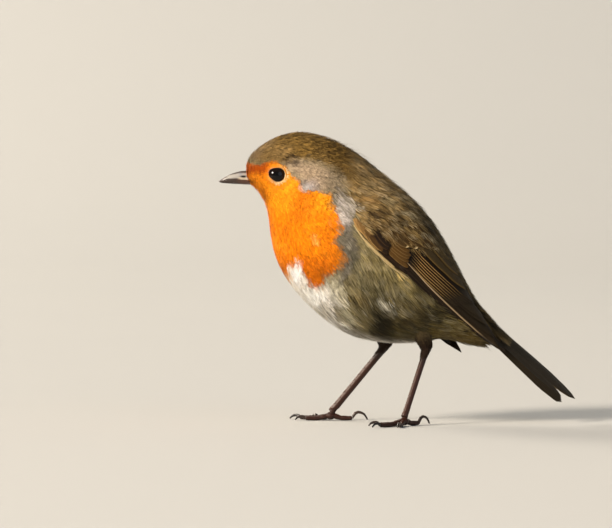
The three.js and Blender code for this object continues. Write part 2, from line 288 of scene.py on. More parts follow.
# Feathers read their tint from the mesh, and a vane's barbs from its own map
featherGrain = {"kind": "ShaderNodeTexNoise", "values": {"Scale": 1800.0, "Detail": 2.0}, "on": "Object",
                "gives": "Fac", "fleck": {"From Min": 0.3, "From Max": 0.7, "To Min": 0.88, "To Max": 1.1}}
barbLines = {"kind": "ShaderNodeTexWave", "values": {"Scale": 0.9, "Distortion": 0.8, "Detail": 1.0},
             "on": "Vane", "gives": "Fac", "fleck": {"To Min": 0.8, "To Max": 1.14},
             "bump": {"Strength": 0.35, "Distance": 0.00006}}
sheen = {"Sheen Weight": 0.02, "Sheen Roughness": 0.5}
plumage = newSurface("contourFeather", {**sheen, "Roughness": 0.78, "Specular IOR Level": 0.12},
                     featherGrain)  # loose barbs: soft and matt
flightVane = newSurface("flightFeather", {**sheen, "Roughness": 0.58, "Specular IOR Level": 0.1},
                        featherGrain, barbLines)  # zipped barbs: a satin vane

# Loops in side view, as x and z in the bird's millimetres. Both sides carry them alike
markings = {
    "bib": [
        (-42, 81), (-40.8, 83.5), (-36.8, 83.5), (-34.2, 83.9), (-31.5, 84.3), (-29, 83.8), (-27.4, 82.6),
        (-26, 80.6), (-24, 79.2), (-22.6, 77.7), (-21.9, 76.2), (-21, 74.8), (-17.4, 75.2), (-14.8, 74.5),
        (-11.8, 73.6), (-13, 71.2), (-11.6, 68.7), (-9.6, 66.5), (-9.4, 62.9), (-9.8, 58.7), (-8.6, 54.5),
        (-9.6, 50.8), (-12.9, 49), (-14.2, 46.5), (-16.1, 43.9), (-18.1, 44.8), (-20, 47.4), (-21.6, 50),
        (-23.5, 51.6), (-25.2, 51), (-25.8, 48.7), (-24.8, 45.8), (-27.1, 44.8), (-36, 50), (-44, 66),
        (-46, 76)],
    "whiteBelly": [
        (-26.5, 51.9), (-22.6, 51.9), (-19.4, 47.1), (-16.1, 43.5), (-12.9, 45.5), (-10.3, 43.4),
        (-9.4, 39.7), (-11.6, 37.1), (-9.3, 34.4), (-4.8, 31), (1, 28.4), (8, 27.4), (16, 27.2), (16, 20),
        (-12.9, 22), (-28, 30), (-36, 46)],
    "earCoverts": [
        (-26.2, 81.6), (-27, 83.6), (-23.9, 84.5), (-18.7, 84.2), (-12.9, 82.4), (-9, 80), (-7, 76),
        (-9.7, 73.5), (-15.5, 74.6), (-21, 75.4), (-22, 78), (-24, 80)],
    "sideBand": [
        (-12.4, 73.4), (-9.7, 74.4), (-6.4, 73), (-3.6, 70), (-4.4, 66), (-5.4, 63), (-4, 59.7), (-3, 55.8),
        (-5, 51), (-8, 45), (-10.6, 46), (-8.8, 50.6), (-8, 54.5), (-9.4, 58.7), (-9, 62.9), (-9.2, 66.5),
        (-11.4, 69)],
    "whiteShoulder": [
        (-10, 73.2), (-7.1, 72.3), (-4.5, 70.6), (-2.9, 69.4), (-3.9, 68.2), (-6.3, 67.9), (-6.1, 65.6),
        (-7.7, 63.3), (-9.4, 64), (-10.3, 67.4), (-10.6, 70.6)],
    "upperSide": [
        (-42, 84.6), (-32.9, 84.5), (-27, 83.6), (-23.9, 85), (-18.7, 85.2), (-12.9, 83.2), (-9, 80),
        (-7, 75), (-5.6, 71.6), (-2, 69), (-3.4, 65.4), (4, 55), (12, 48), (20, 42), (29, 34), (37, 29),
        (46, 24), (60, 40), (40, 70), (10, 100), (-45, 105)],
}
softness = {"bib": 0.6, "whiteBelly": 1.6, "earCoverts": 2.4, "sideBand": 1.2, "whiteShoulder": 1.6,
            "upperSide": 1.4}


def insideLoop(x, z, loop, wide):
    nearest = np.full(x.shape, 1e9)
    inside = np.zeros(x.shape, bool)
    for (ax, az), (bx, bz) in zip(loop, loop[1:] + loop[:1]):
        dx, dz = bx - ax, bz - az
        t = np.clip(((x - ax) * dx + (z - az) * dz) / (dx * dx + dz * dz), 0, 1)
        nearest = np.minimum(nearest, np.hypot(x - ax - t * dx, z - az - t * dz))
        inside ^= ((az > z) != (bz > z)) & (x < ax + (z - az) * dx / (dz if abs(dz) > 1e-9 else 1e-9))
    return smooth(-wide, wide, np.where(inside, nearest, -nearest))


noiseTable = np.random.default_rng(3).normal(size=(64, 64, 64)) * 0.55


def fieldNoise(points, size):
    place = np.asarray(points) / size
    base = np.floor(place).astype(int)
    part = smooth(0, 1, place - base)
    total = 0
    for corner in np.ndindex(2, 2, 2):
        weight = np.prod([part[..., i] if corner[i] else 1 - part[..., i] for i in range(3)], 0)
        total = total + weight * noiseTable[tuple((base[..., i] + corner[i]) % 64 for i in range(3))]
    return total


# Small marks over the loops: x, z, two half sizes, the turn in degrees, the colour and how much of it shows
accents = {
    "flank": [
        (-10.2, 44.2, 2.4, 4.8, 24, "cdc6ac", 0.65), (4, 33.2, 3.3, 5.4, 29, "080602", 0.88),
        (1.6, 36.5, 1.8, 3.6, 20, "2e2a1a", 0.65), (4.9, 38.9, 3.2, 1, -36, "efe9d6", 0.8),
        (9.7, 38, 2.2, 0.5, -12, "b5a988", 0.6), (-6.5, 35.8, 1.3, 3.4, 15, "bdbaa4", 0.5),
        (-4.5, 31.6, 3.4, 1.8, -15, "4c4126", 0.55), (-8.4, 33.9, 1.6, 1.4, 0, "d8ceb0", 0.3),
        (-3.2, 41, 3, 2.4, 0, "6d5a34", 0.5), (1.3, 43.4, 3, 4.4, 15, "403a20", 0.72),
        (5.8, 51.6, 3.4, 1.1, -48, "c2ad78", 0.7), (16.6, 41.4, 3, 4.2, 30, "40351d", 0.55),
        (10.3, 47.2, 2.2, 1.1, -50, "c4a968", 0.7), (-1.3, 51.9, 1, 4.5, 10, "a1906a", 0.55),
        # (24.2, 37.5) here and (19.2, 35.8) on the next line are painted shade under the folded wing
        (-4.2, 50, 1.3, 6, 14, "504d3a", 0.65), (24.2, 37.5, 6, 2.4, -42, "261b0b", 0.85),
        (19.2, 35.8, 5, 2.7, -20, "1c1407", 0.75), (24.5, 29.4, 8, 2.6, -8, "7c6730", 0.6),
        (12.5, 33.4, 2.6, 1.6, -20, "3a2f18", 0.6), (41.6, 28.6, 4, 5, -42, "33291a", 0.85),
        (7.6, 60.3, 4.4, 2.2, -35, "3a2812", 0.75), (12.9, 30, 7, 1.6, 0, "5c5128", 0.5)],
    "breast": [
        (-14.2, 49.4, 1.8, 2.8, 20, "a35400", 0.75), (-17.7, 51.9, 4.4, 1.8, -10, "d96c00", 0.6),
        # (-17, 59) on this line is a painted highlight
        (-9.4, 53.9, 1.6, 3.8, 0, "b4660a", 0.6), (-17, 59, 0.8, 2, 25, "ffc069", 0.5),
        # Both marks on this line are painted shade under the chin
        (-37.4, 70.5, 1.4, 3.8, 25, "a85c0a", 0.35), (-33.8, 74.6, 0.9, 3, 12, "b85c00", 0.5)],
    "belly": [
        (-11.6, 41.3, 0.8, 3.6, 30, "8a8878", 0.6), (-22.6, 49.2, 1.4, 3.4, 0, "ffffff", 0.95),
        (-17, 41.6, 2.6, 3.4, 35, "fffdf6", 0.9), (-14.6, 37, 2.6, 1.8, -40, "8f8872", 0.6),
        (-25.4, 47.7, 0.9, 2.2, 10, "e8a83c", 0.6), (-8, 29.2, 4.6, 0.8, -32, "e6ddc6", 0.7)],
    "head": [
        (-24.8, 84, 2.4, 0.9, -6, "42352a", 0.8), (-26.4, 82.2, 0.9, 0.5, 0, "5a3a1c", 0.8),
        (-38.2, 78, 1.6, 0.4, 0, "2c1a0c", 0.8), (-25.5, 85.6, 2.6, 0.6, 4, "33240e", 0.75),
        (-20.8, 75.9, 1.8, 1.1, 0, "c6bdb6", 0.75), (-10, 84.4, 8, 4.4, -38, "5a421c", 0.5)],
    "mantle": [
        (-4.6, 70.2, 3.2, 0.6, -20, "ddd0b8", 0.6), (-2.3, 74.5, 1.5, 0.8, -10, "c8ae82", 0.6),
        (2.3, 73.5, 2.8, 0.6, -40, "cfb487", 0.8), (6.5, 70.6, 2.6, 1.6, -40, "b5a176", 0.65),
        (11, 70.6, 2.2, 0.7, -38, "a39369", 0.65), (11.6, 67.1, 2, 0.7, -20, "bfae88", 0.8),
        (2.6, 66.3, 1, 0.6, -10, "e0cba0", 0.85), (0, 71.6, 3.5, 1.6, 0, "8a6636", 0.5),
        (1, 75.4, 4.5, 2, -15, "ad9262", 0.55), (0.6, 67.6, 3.8, 0.9, -10, "3a2610", 0.7),
        (5.6, 65.4, 4.8, 3.2, -35, "3f2c13", 0.45), (1.6, 62.8, 3.6, 1.1, -38, "2e1e0c", 0.75),
        # (16.8, 63.5) on this line is painted shade along the back's outline
        (9.7, 64.8, 2.4, 1.6, -45, "2c200e", 0.6), (16.8, 63.5, 4.2, 1.8, -35, "2a2113", 0.4),
        (18.4, 59.2, 2.8, 1.2, -45, "948567", 0.8)],
}


def plumageColour(points):
    wander = (0.25 + 0.5 * smooth(-26, -18, points[:, 0]))[:, None]  # marks are crisper on the face
    sway = np.stack([fieldNoise(points + 40 * k, 2.6) * 0.9 + fieldNoise(points + 9 * k, 1.1) * 0.5
                     for k in (1, -1)], -1)
    x, z = (points[:, [0, 2]] + sway * wander).T
    y = points[:, 1]
    z = z - 0.8 * np.exp(-((y / 2.2) ** 2)) * smooth(-34, -38, x) * smooth(78, 82, z)  # an arch over the bill
    z = z - 2.2 * smooth(1, 8, y) * smooth(58, 50, z)  # the bib ends higher on the right
    shown = {name: insideLoop(x, z, markings[name], wide) for name, wide in softness.items()}
    broad, middling = fieldNoise(points + 15, 6), fieldNoise(points - 15, 2.2)
    streaks = fieldNoise(points * [0.4, 1, 1.3], 0.8)
    falling = fieldNoise(points * [1.5, 1, 0.45] + 70, 1.0)
    under = smooth(12, 4, abs(y)) * smooth(36, 28, z) * smooth(18, 2, x) * 0.85
    colour = blendTo(plain("7f7350", points) * (1 + middling * 0.2)[:, None],
                     # darker olive low on the body: partly the flank's own colour, partly painted shade
                     # underneath
                     "544829", smooth(48, 33, z) * smooth(-8, 5, x),
                     "8d7d4c", smooth(6, 0, abs(z - (54 - 0.8 * x))) * smooth(-6, 2, x) * 0.7,
                     # the vent's buff-olive, partly painted shade under the wing and tail
                     "6e5a2c", smooth(22, 32, x) * smooth(36, 30, z),
                     "f6efe4", np.maximum(shown["whiteBelly"], under),
                     "6e675b", shown["sideBand"] * 0.9,
                     "38331f", smooth(0.2, 0.9, falling) * 0.55,
                     "cbc3ab", smooth(0.3, 1.0, -falling) * 0.4,
                     "d4c9c2", shown["whiteShoulder"] * np.clip(0.64 - streaks * 0.5, 0, 1))
    olive = blendTo(plain("826430", points), "9a7f51", smooth(-9, -3, x) * smooth(22, 8, x) * 0.8,
                    "645536", smooth(4, 22, x) * 0.85,
                    # painted shade along the back's outline, kept lighter over the midline
                    "261d0e", smooth(13, 20, x) * smooth(69, 63, z) * 0.15 * smooth(3, 8, abs(y)),
                    "a08660", smooth(0.1, 0.9, broad) * 0.35 * smooth(14, -2, x),
                    "7c6648", smooth(-33, -37, x) * 0.8,
                    "35260f", smooth(0.25, 0.8, streaks) * (0.35 + 0.4 * smooth(4, -16, x)),
                    "a07e44", smooth(0.3, 0.9, -streaks) * smooth(4, -16, x) * 0.4)
    colour = mix(colour, olive, shown["upperSide"]) * (1 + middling * 0.13)[:, None]
    ear = blendTo(plain("b8a084", points), "b0a7ab", smooth(80, 75.5, z) * smooth(-14, -20, x),
                  "857760", smooth(-18, -11, x) * 0.8)
    colour = mix(colour, ear, shown["earCoverts"] * 0.92)
    beside = smooth(0.8, 3.2, abs(y))
    lores = fieldNoise(points * [1.6, 1, 0.4], 0.7)
    orange = blendTo(plain("fa8c02", points), "fc9e12", smooth(66, 71, z),
                     "e97c02", smooth(-0.2, 0.9, broad) * 0.8,
                     # lighter patches at random: painted highlights
                     "ffa01c", smooth(0.1, 0.9, -middling) * 0.5,
                     "e6860f", smooth(-30, -36, x) * 0.6,
                     "ad4400", smooth(79.6, 81.6, z) * smooth(-31, -34, x) * (0.4 + 0.5 * beside),
                     "c4640a", smooth(82, 83.6, z) * smooth(-28, -31, x) * 0.4,
                     # dark red streaks over the lores, and partly painted shade along the chin's edge
                     "8a3400", smooth(0.2, 0.8, lores) * smooth(-30, -34, x) * (0.15 + 0.45 * beside),
                     # painted shade: the lower breast and the bib's back edge darken as they turn from the
                     # light
                     "ad5200", smooth(57, 47, z) * 0.75,
                     "c46600", smooth(-18, -10, x) * smooth(70, 60, z) * 0.5)
    colour = mix(colour, orange, shown["bib"])
    patchy = np.clip(0.9 + fieldNoise(points * [1, 1, 0.5], 0.9) * 0.4, 0, 1)
    for atX, atZ, long, wide, turn, hexColour, amount in sum(accents.values(), []):
        turn = math.radians(turn)
        dx, dz = x - atX, z - atZ
        a = (dx * math.cos(turn) + dz * math.sin(turn)) / long
        b = (dz * math.cos(turn) - dx * math.sin(turn)) / wide
        colour = blendTo(colour, hexColour, smooth(1.35, 0.6, np.hypot(a, b)) * amount * patchy)
    return colour


# One skin under all the plumage
skinBuild = {"inflate": 0.26, "voxel": 0.62, "rounds": 6, "headDepth": 0.55, "bodyDepth": 1.35,
             "heels": [(18.2, -9.2), (5.2, 10.2)]}
fleshNodes = ["head", "neck", "trunk", "rump", "thigh_left", "thigh_right"]


def coatDepth(points):
    back = smooth(-38, -12, points[:, 0] - 0.3 * (points[:, 2] - 80))
    depth = skinBuild["headDepth"] + (skinBuild["bodyDepth"] - skinBuild["headDepth"]) * back
    return depth * (1 - 0.4 * smooth(34, 44, points[:, 0]))


def buildSkin(name, nodes):
    item = copyNodes(name, *nodes)
    grow(item, skinBuild["inflate"])
    resurface(item, skinBuild["voxel"], skinBuild["rounds"], 0.6)
    spots = toBird(meshPoints(item))
    away = [(spots[:, 0] - x) ** 2 + (spots[:, 1] - y) ** 2 for x, y in skinBuild["heels"]]
    near = np.max(np.exp(-np.array(away) / 9), 0)
    depth = coatDepth(spots) * (1 - near * smooth(29, 24, spots[:, 2]))  # the thighs taper to the heels
    rise = 1.2 * np.exp(-(((spots[:, 0] - 24) / 5) ** 2)) * smooth(31, 27, spots[:, 2])  # the vent tucks up
    inward = meshPoints(item, "normal") * (depth + skinBuild["inflate"])[:, None]
    setMeshPoints(item, meshPoints(item) + (np.outer(rise, [0, 0, 1]) - inward) * mm)
    applyModifier(item, "SMOOTH", factor=0.5, iterations=3)
    return item


skin = buildSkin("skin", fleshNodes)
# The skin's tint is the plumage's marks at 0.75: painted shade under the tufts
finishPiece(skin, "plumage", plumage, *fleshNodes, colours=plumageColour(toBird(meshPoints(skin))) * 0.75)

# The lie of the plumage runs along ribs that lean from the back's outline to the belly's.
# Each rib has a middle, as x and z, and a lean of its upper end, in degrees back from upright
lieRibs = [
    (-40.6, 80, -8), (-38.8, 80.8, -7), (-36.6, 81.2, -5), (-34.1, 80.8, 1), (-31.2, 80, 8), (-27.4, 77.7, 16),
    (-22.2, 73.4, 24), (-16.8, 68.1, 28), (-10.3, 61.4, 32), (-0.7, 53, 38), (8.3, 44.9, 40), (18, 37.9, 41),
    (27, 33.7, 40), (35, 30.2, 27), (39.8, 28.2, 18), (43.2, 26.9, 20)]
lieGrid = {"rows": 420, "columns": 384, "trim": 34, "coverEnd": 372, "bareEnd": 384, "outside": 50,
           "firstReach": 3, "tailAngle": 0.72, "tailStep": 0.22}
rowNumber = np.arange(lieGrid["rows"])[:, None]


def spread(values, share):
    values = np.asarray(values, float)
    place = np.clip(share, 0, 1) * (len(values) - 1)
    base = np.clip(np.floor(place).astype(int), 0, len(values) - 2)
    t = place - base
    t = t[:, None] if values.ndim > 1 else t
    before, start = values[np.maximum(base - 1, 0)], values[base]
    end, after = values[base + 1], values[np.minimum(base + 2, len(values) - 1)]
    return start + 0.5 * t * (end - before + t * (2 * before - 5 * start + 4 * end - after
                                                 + t * (3 * (start - end) + after - before)))


def finishLie(place):
    rows = np.gradient(place, axis=0)
    columns = (np.roll(place, -1, 1) - np.roll(place, 1, 1)) / 2
    normal = np.cross(columns, rows)
    outward = (normal * (place - place.mean(1, keepdims=True))).sum() > 0
    return {"place": place, "rows": rows, "columns": columns, "cell": np.linalg.norm(normal, axis=2),
            "normal": unit(normal) * (1 if outward else -1)}


def surfaceTree(item):
    return BVHTree.FromObject(item, bpy.context.evaluated_depsgraph_get())


def castLie(item, fromOutside):
    tree = surfaceTree(item)
    bpy.data.objects.remove(item)
    rows, columns, trim = lieGrid["rows"], lieGrid["columns"], lieGrid["trim"]
    outside = lieGrid["outside"] * mm
    place = np.zeros((rows, columns, 3))
    for row, (x, z, lean) in enumerate(spread(lieRibs, np.linspace(0, 1, rows))):
        middle = Vector(toRow((x, 0, z)))
        up = Vector((math.sin(np.radians(lean)), 0, math.cos(np.radians(lean))))
        reach = lieGrid["firstReach"] * mm
        for column in range(columns):
            turn = column / columns * 2 * math.pi
            way = up * math.cos(turn) + Vector((0, math.sin(turn), 0))
            ray = (middle + way * outside, -way) if fromOutside else (middle, way)
            hit = tree.ray_cast(*ray)[0]
            if hit:
                reach = (hit - middle).length
            place[row, column] = middle + way * reach
    place = toBird(place)
    for sweep in range(3):  # wears down the steps left by the voxels
        place[1:-1] = place[1:-1] * 0.5 + (place[2:] + place[:-2]) * 0.25
        place = place * 0.5 + (np.roll(place, 1, 1) + np.roll(place, -1, 1)) * 0.25
    place = place[:rows - trim]
    centre = place[-1].mean(0)
    onward = np.arange(1, trim + 1)[:, None, None]  # carries the lie on over the tail's root
    slope = lieGrid["tailAngle"]
    tailward = np.array([math.cos(slope), 0, -math.sin(slope)]) * lieGrid["tailStep"]
    root = centre + tailward * onward + (place[-1] - centre) * (1 - 0.2 * onward / trim)
    return finishLie(np.concatenate([place, root]))


# The plugged skin lets the lie pass over the sockets
bodyLie = castLie(buildSkin("plugged", fleshNodes + ["eye_left", "eye_right"]), False)
dressed = copyNodes("dressed", "head", "neck", "trunk", "rump", "wing_left", "wing_right")
grow(dressed, 0.3)
resurface(dressed, 0.6, 5, 0.6)
grow(dressed, -1.2)
upperLie = castLie(dressed, True)
print("stage: the lie of the plumage")


def between(grid, row, column):
    row = np.clip(row, 0, grid.shape[0] - 1.001)
    baseRow, baseColumn = np.floor(row).astype(int), np.floor(column).astype(int)
    r, c = row - baseRow, column - baseColumn
    if grid.ndim > 2:
        r, c = r[..., None], c[..., None]
    left, right = baseColumn % grid.shape[1], (baseColumn + 1) % grid.shape[1]
    return ((grid[baseRow, left] * (1 - c) + grid[baseRow, right] * c) * (1 - r)
            + (grid[baseRow + 1, left] * (1 - c) + grid[baseRow + 1, right] * c) * r)


def scatter(lie, spacing, keep):
    wanted = (lie["cell"] / (spacing * spacing) * keep).tolist()
    chance = rng.uniform(0.35, 0.65, lie["cell"].shape).tolist()
    rows, columns = lie["cell"].shape
    found = []
    for row in range(rows):
        line = wanted[row]
        below = wanted[row + 1] if row + 1 < rows else None
        for column in range(columns):
            have = line[column]
            if have > chance[row][column]:
                found.append((row, column))
                have -= 1
            if column + 1 < columns:  # what is left over goes to the neighbours, 7, 5, 3 and 1 parts of 16
                line[column + 1] += have * 0.4375
            if below:
                below[column] += have * 0.3125
                below[max(0, column - 1)] += have * 0.1875
                below[min(columns - 1, column + 1)] += have * 0.0625
    return np.array(found, float).reshape(-1, 2) + rng.uniform(-0.5, 0.5, (len(found), 2))


def meshFromArrays(name, points, faces, colours, places, vane=None, outward=None):
    corners = points[faces[:, :3]]
    facing = np.cross(corners[:, 1] - corners[:, 0], corners[:, 2] - corners[:, 0])
    if (facing * (corners[:, 0] if outward is None else outward[faces[:, 0]])).sum() < 0:
        faces = faces[:, ::-1]
    mesh = bpy.data.meshes.new(name)
    mesh.vertices.add(len(points))
    mesh.vertices.foreach_set("co", np.ascontiguousarray(toRow(points)).ravel())
    mesh.loops.add(faces.size)
    mesh.loops.foreach_set("vertex_index", faces.astype(np.int32).ravel())
    mesh.polygons.add(len(faces))
    mesh.polygons.foreach_set("loop_start", np.arange(0, faces.size, faces.shape[1], dtype=np.int32))
    mesh.update(calc_edges=True)
    mesh.polygons.foreach_set("use_smooth", np.ones(len(faces), bool))
    item = bpy.data.objects.new(name, mesh)
    scene.collection.objects.link(item)
    setTint(item, colours)
    for layerName, spots in (("OFBake", places), ("Vane", vane)):
        if spots is not None:
            layer = mesh.uv_layers.new(name=layerName)
            layer.data.foreach_set("uv", np.ascontiguousarray(spots[faces.ravel()]).ravel())
    return item


# Where the coat swirls away from the ribs: x, z, radius, and degrees towards the belly
swirls = [(2, 48, 14, 24), (-30, 62, 10, 4), (14, 34, 8, -16), (-16, 78, 8, 10)]


def lieTurn(points):
    total = fieldNoise(points, 4.0) * 9
    for x, z, radius, turn in swirls:
        away = np.hypot(points[:, 0] - x, points[:, 2] - z)
        total = total + turn * np.exp(-(away / radius) ** 2)
    return total


def steady(amount):
    return lambda points: np.full(len(points), amount)


# A barb is a ribbon of three steps. Each of its corners has a station and an edge
station, edge = np.array([(0, 0), (0, 1), (1, 0), (1, 1), (2, 0), (2, 1), (3, 0)]).T
barbFaces = np.array([(0, 1, 3), (0, 3, 2), (2, 3, 5), (2, 5, 4), (4, 5, 6)])
barbPlan = {"at": np.array([0.0, 0.4, 0.75, 1.0]), "thick": np.array([1.0, 1.0, 0.7, 0.0]),
            "light": np.array([0, 0.45, 0.8, 1.0])[station], "tip": np.array([0, 0, 0.45, 1.0])[station]}
tuftDefaults = dict(
    stray=7, round=0.3, ragged=0.06, curl=0.07, lift=0.12, mottle=0.07, grain=0.12, rootShade=0.55,
    deep=1.0, tipAmount=0.0, tipColour="ffffff", tipShare=1.0, locks=3, clump=0.35, layers=(0.45, 1.0),
    wave=0.0, lockTone=0.0, toneAt=0.65, toneStray=0.15)


def growTract(name, lie, settings, colourOf=plumageColour, turnOf=lieTurn, depthOf=coatDepth):
    tuft = SimpleNamespace(**{**tuftDefaults, **settings})
    row, column = scatter(lie, tuft.spacing, tuft.where).T
    count, barbs = len(row), tuft.barbs
    each = (count, barbs)
    rootPlace, normal, alongRow, alongColumn = (
        between(lie[key], row, column) for key in ("place", "normal", "rows", "columns"))
    normal = unit(normal)
    flow = unit(alongRow - normal * (alongRow * normal).sum(1, keepdims=True))
    across = np.cross(normal, flow)
    across = np.where(across[:, 2:3] < 0, across, -across)
    turn = np.radians(rng.normal(0, tuft.stray, count) + turnOf(rootPlace))[:, None]
    turned = flow * np.cos(turn) + across * np.sin(turn)
    across = np.cross(normal, turned)
    # Steps on the surface become steps of row and column
    a, b, d = (alongRow ** 2).sum(1), (alongRow * alongColumn).sum(1), (alongColumn ** 2).sum(1)
    size = np.maximum(a * d - b * b, 1e-9)

    def steps(way):
        p, q = (way * alongRow).sum(1), (way * alongColumn).sum(1)
        return ((p * d - q * b) / size)[:, None, None], ((q * a - p * b) / size)[:, None, None]

    rowAlong, columnAlong = steps(turned)
    rowAcross, columnAcross = steps(across)
    length = (tuft.length * rng.uniform(0.8, 1.2, count))[:, None, None]
    width = (tuft.width * rng.uniform(0.85, 1.15, count))[:, None, None]
    side = np.linspace(-1, 1, barbs)[None, :] + rng.normal(0, 0.12, each)
    lockNumber = np.clip(np.floor((side + 1) / 2 * tuft.locks), 0, tuft.locks - 1).astype(int)
    lock = (lockNumber + 0.5) / tuft.locks * 2 - 1
    lockTone = np.take_along_axis(rng.normal(1, tuft.lockTone, (count, tuft.locks)), lockNumber, 1)
    begin = rng.uniform(0.0, 0.25, each)
    finish = 1 - tuft.round * side ** 2 + rng.normal(0, tuft.ragged, each)
    share = begin[..., None] + (finish - begin)[..., None] * barbPlan["at"]
    inside = np.clip(share, 0, 1)
    bow = rng.normal(0, tuft.curl, each) + rng.normal(0, tuft.curl * 1.5, (count, 1))
    opened = np.sin(inside * 2.0) / math.sin(2.0)
    leant = side[..., None] + (lock - side)[..., None] * tuft.clump * inside ** 1.5
    ripple = tuft.wave * np.sin(share * 7 + rng.uniform(0, 6.3, (count, 1, 1)) + side[..., None])
    offset = (leant * opened * 0.5 + bow[..., None] * share ** 2 + ripple) * width
    layer = rng.uniform(*tuft.layers, count)[:, None, None] * tuft.deep * depthOf(rootPlace)[:, None, None]
    height = layer * (0.12 + 0.88 * np.clip(share / 0.75, 0, 1) ** 0.8) - 0.12 * width * side[..., None] ** 2
    height = np.maximum(height + rng.normal(0, tuft.lift, each)[..., None] * share ** 3, 0.02)
    thick = tuft.barbWidth * rng.uniform(0.75, 1.25, each)[..., None] * barbPlan["thick"]
    along, high = (share * length)[..., station], height[..., station]
    over = offset[..., station] + (edge - 0.5) * thick[..., station]
    newRow = row[:, None, None] + along * rowAlong + over * rowAcross
    newColumn = column[:, None, None] + along * columnAlong + over * columnAcross
    newNormal = unit(between(lie["normal"], newRow, newColumn))
    points = between(lie["place"], newRow, newColumn) + newNormal * high[..., None]
    shown = length * tuft.toneAt  # the part of a tuft that its neighbours leave bare
    shownRow, shownColumn = ((shown * way)[:, 0, 0] for way in (rowAlong, columnAlong))
    shownPlace = between(lie["place"], row + shownRow, column + shownColumn)
    base = colourOf(shownPlace + rng.normal(0, tuft.toneStray, shownPlace.shape))
    base = base * rng.normal(1, tuft.mottle, count)[:, None]
    light = tuft.rootShade + (1 - tuft.rootShade) * barbPlan["light"]
    tone = np.clip(rng.normal(1, tuft.grain, each) * lockTone, 0.25, 1.9)
    colours = base[:, None, None] * tone[..., None, None] * light[:, None]
    tipped = (rng.uniform(size=count) < tuft.tipShare) * tuft.tipAmount * np.clip(base.mean(1) / 0.12, 0, 1)
    tip = tipped[:, None, None] * np.clip(barbPlan["tip"] + (abs(side) > 0.85)[..., None] * 0.35, 0, 1)
    colours = blendTo(colours, tuft.tipColour, tip)
    spot = np.stack([along / (length * 1.3), over / (width * 1.6)], -1) * 0.0015
    rows, columns = lie["cell"].shape
    spot = spot + np.stack([row / rows, column / columns % 1], -1)[:, None, None, :]
    first = (np.arange(count * barbs) * len(station))[:, None, None]
    parts = (points, first + barbFaces, colours, np.broadcast_to(normal[:, None, None], points.shape))
    points, faces, colours, outward = (part.reshape(-1, 3) for part in parts)
    item = meshFromArrays(name, points, faces, colours, np.clip(spot, 0, 1).reshape(-1, 2), outward=outward)
    finishPiece(item, "plumage", plumage)


def growHalves(name, lie, settings, colourOf=plumageColour):
    for label, half in (("_left", lie["place"][..., 1] < 0), ("_right", lie["place"][..., 1] >= 0)):
        growTract(name + label, lie, {**settings, "where": settings["where"] * half}, colourOf)


# The folded wings: a bed that keeps the solid's form, and the vanes laid over it
wingEdges = {
    "lower": [
        (-5.4, 64.6), (-2.2, 60.3), (4.6, 53.6), (12, 48), (20, 41.7), (28.4, 35), (36.6, 28.2),
        (42.6, 21.8)],
    "upper": [
        (-3.4, 71.6), (5.2, 74), (13.2, 68.6), (20.8, 60), (26.8, 50.2), (32.4, 41.2), (38.4, 31.8),
        (43.2, 22.9)],
}
wingLoop = np.array(wingEdges["lower"] + wingEdges["upper"][::-1])
wingSlip = {-1: (0, 0), 1: (-13.0, 0.5)}  # the right wing droops ahead of the left one
# Tufts cover the wing above this line, and vanes are bare below it
coverLoop = [
    (-7, 74), (-6.2, 70), (-5.4, 66.2), (-3.8, 65), (-1, 64.4), (2.2, 62.4), (5.6, 60.6), (8.4, 60),
    (11.4, 58.4), (15, 58.4), (19, 57.4), (22.6, 55.2), (25.6, 51), (28.4, 46.4), (31, 42.5), (34, 37.5),
    (38, 32.5), (44, 28), (60, 40), (40, 80), (10, 100), (-12, 100), (-12, 84), (-9, 76)]
wingGrid = {"x": (-26, 52), "z": (12, 84), "step": 0.6}


def fromSide(points, loop):
    slip = np.where(points[..., 1:2] > 0, wingSlip[1], wingSlip[-1])
    return insideLoop(points[..., 0] - slip[..., 0], points[..., 2] - slip[..., 1], loop, 0.01) > 0.5


def wingSurface(label, side):
    probe = copyNodes("wingProbe", "neck", "trunk", "rump", "wing_" + label)
    tree = surfaceTree(probe)
    bpy.data.objects.remove(probe)
    xs, zs = (np.arange(*wingGrid[key], wingGrid["step"]) for key in "xz")
    found = np.full((len(xs), len(zs)), np.nan)
    for i, x in enumerate(xs):
        for j, z in enumerate(zs):
            hit = tree.ray_cast(Vector(toRow((x, side * 60, z))), Vector((0, -side, 0)))[0]
            if hit and toBird(hit)[1] * side > 1:
                found[i, j] = abs(toBird(hit)[1])
    for sweep in range(60):  # carries the wing's edge on outwards
        gap = np.isnan(found)
        if not gap.any():
            break
        padded = np.pad(found, 1, mode="edge")
        near = np.stack([padded[:-2, 1:-1], padded[2:, 1:-1], padded[1:-1, :-2], padded[1:-1, 2:]])
        known = (~np.isnan(near)).sum(0)
        found = np.where(gap & (known > 0), np.nansum(near, 0) / np.maximum(known, 1), found)
    for sweep in range(4):
        padded = np.pad(found, 1, mode="edge")
        around = padded[2:, 1:-1] + padded[:-2, 1:-1] + padded[1:-1, 2:] + padded[1:-1, :-2]
        found = found * 0.5 + around * 0.125
    return found


def onWing(surface, x, z):
    i, j = (np.clip((value - wingGrid[key][0]) / wingGrid["step"], 0, size - 1.001)
            for value, key, size in zip((x, z), "xz", surface.shape))
    return between(surface.T, j, i)


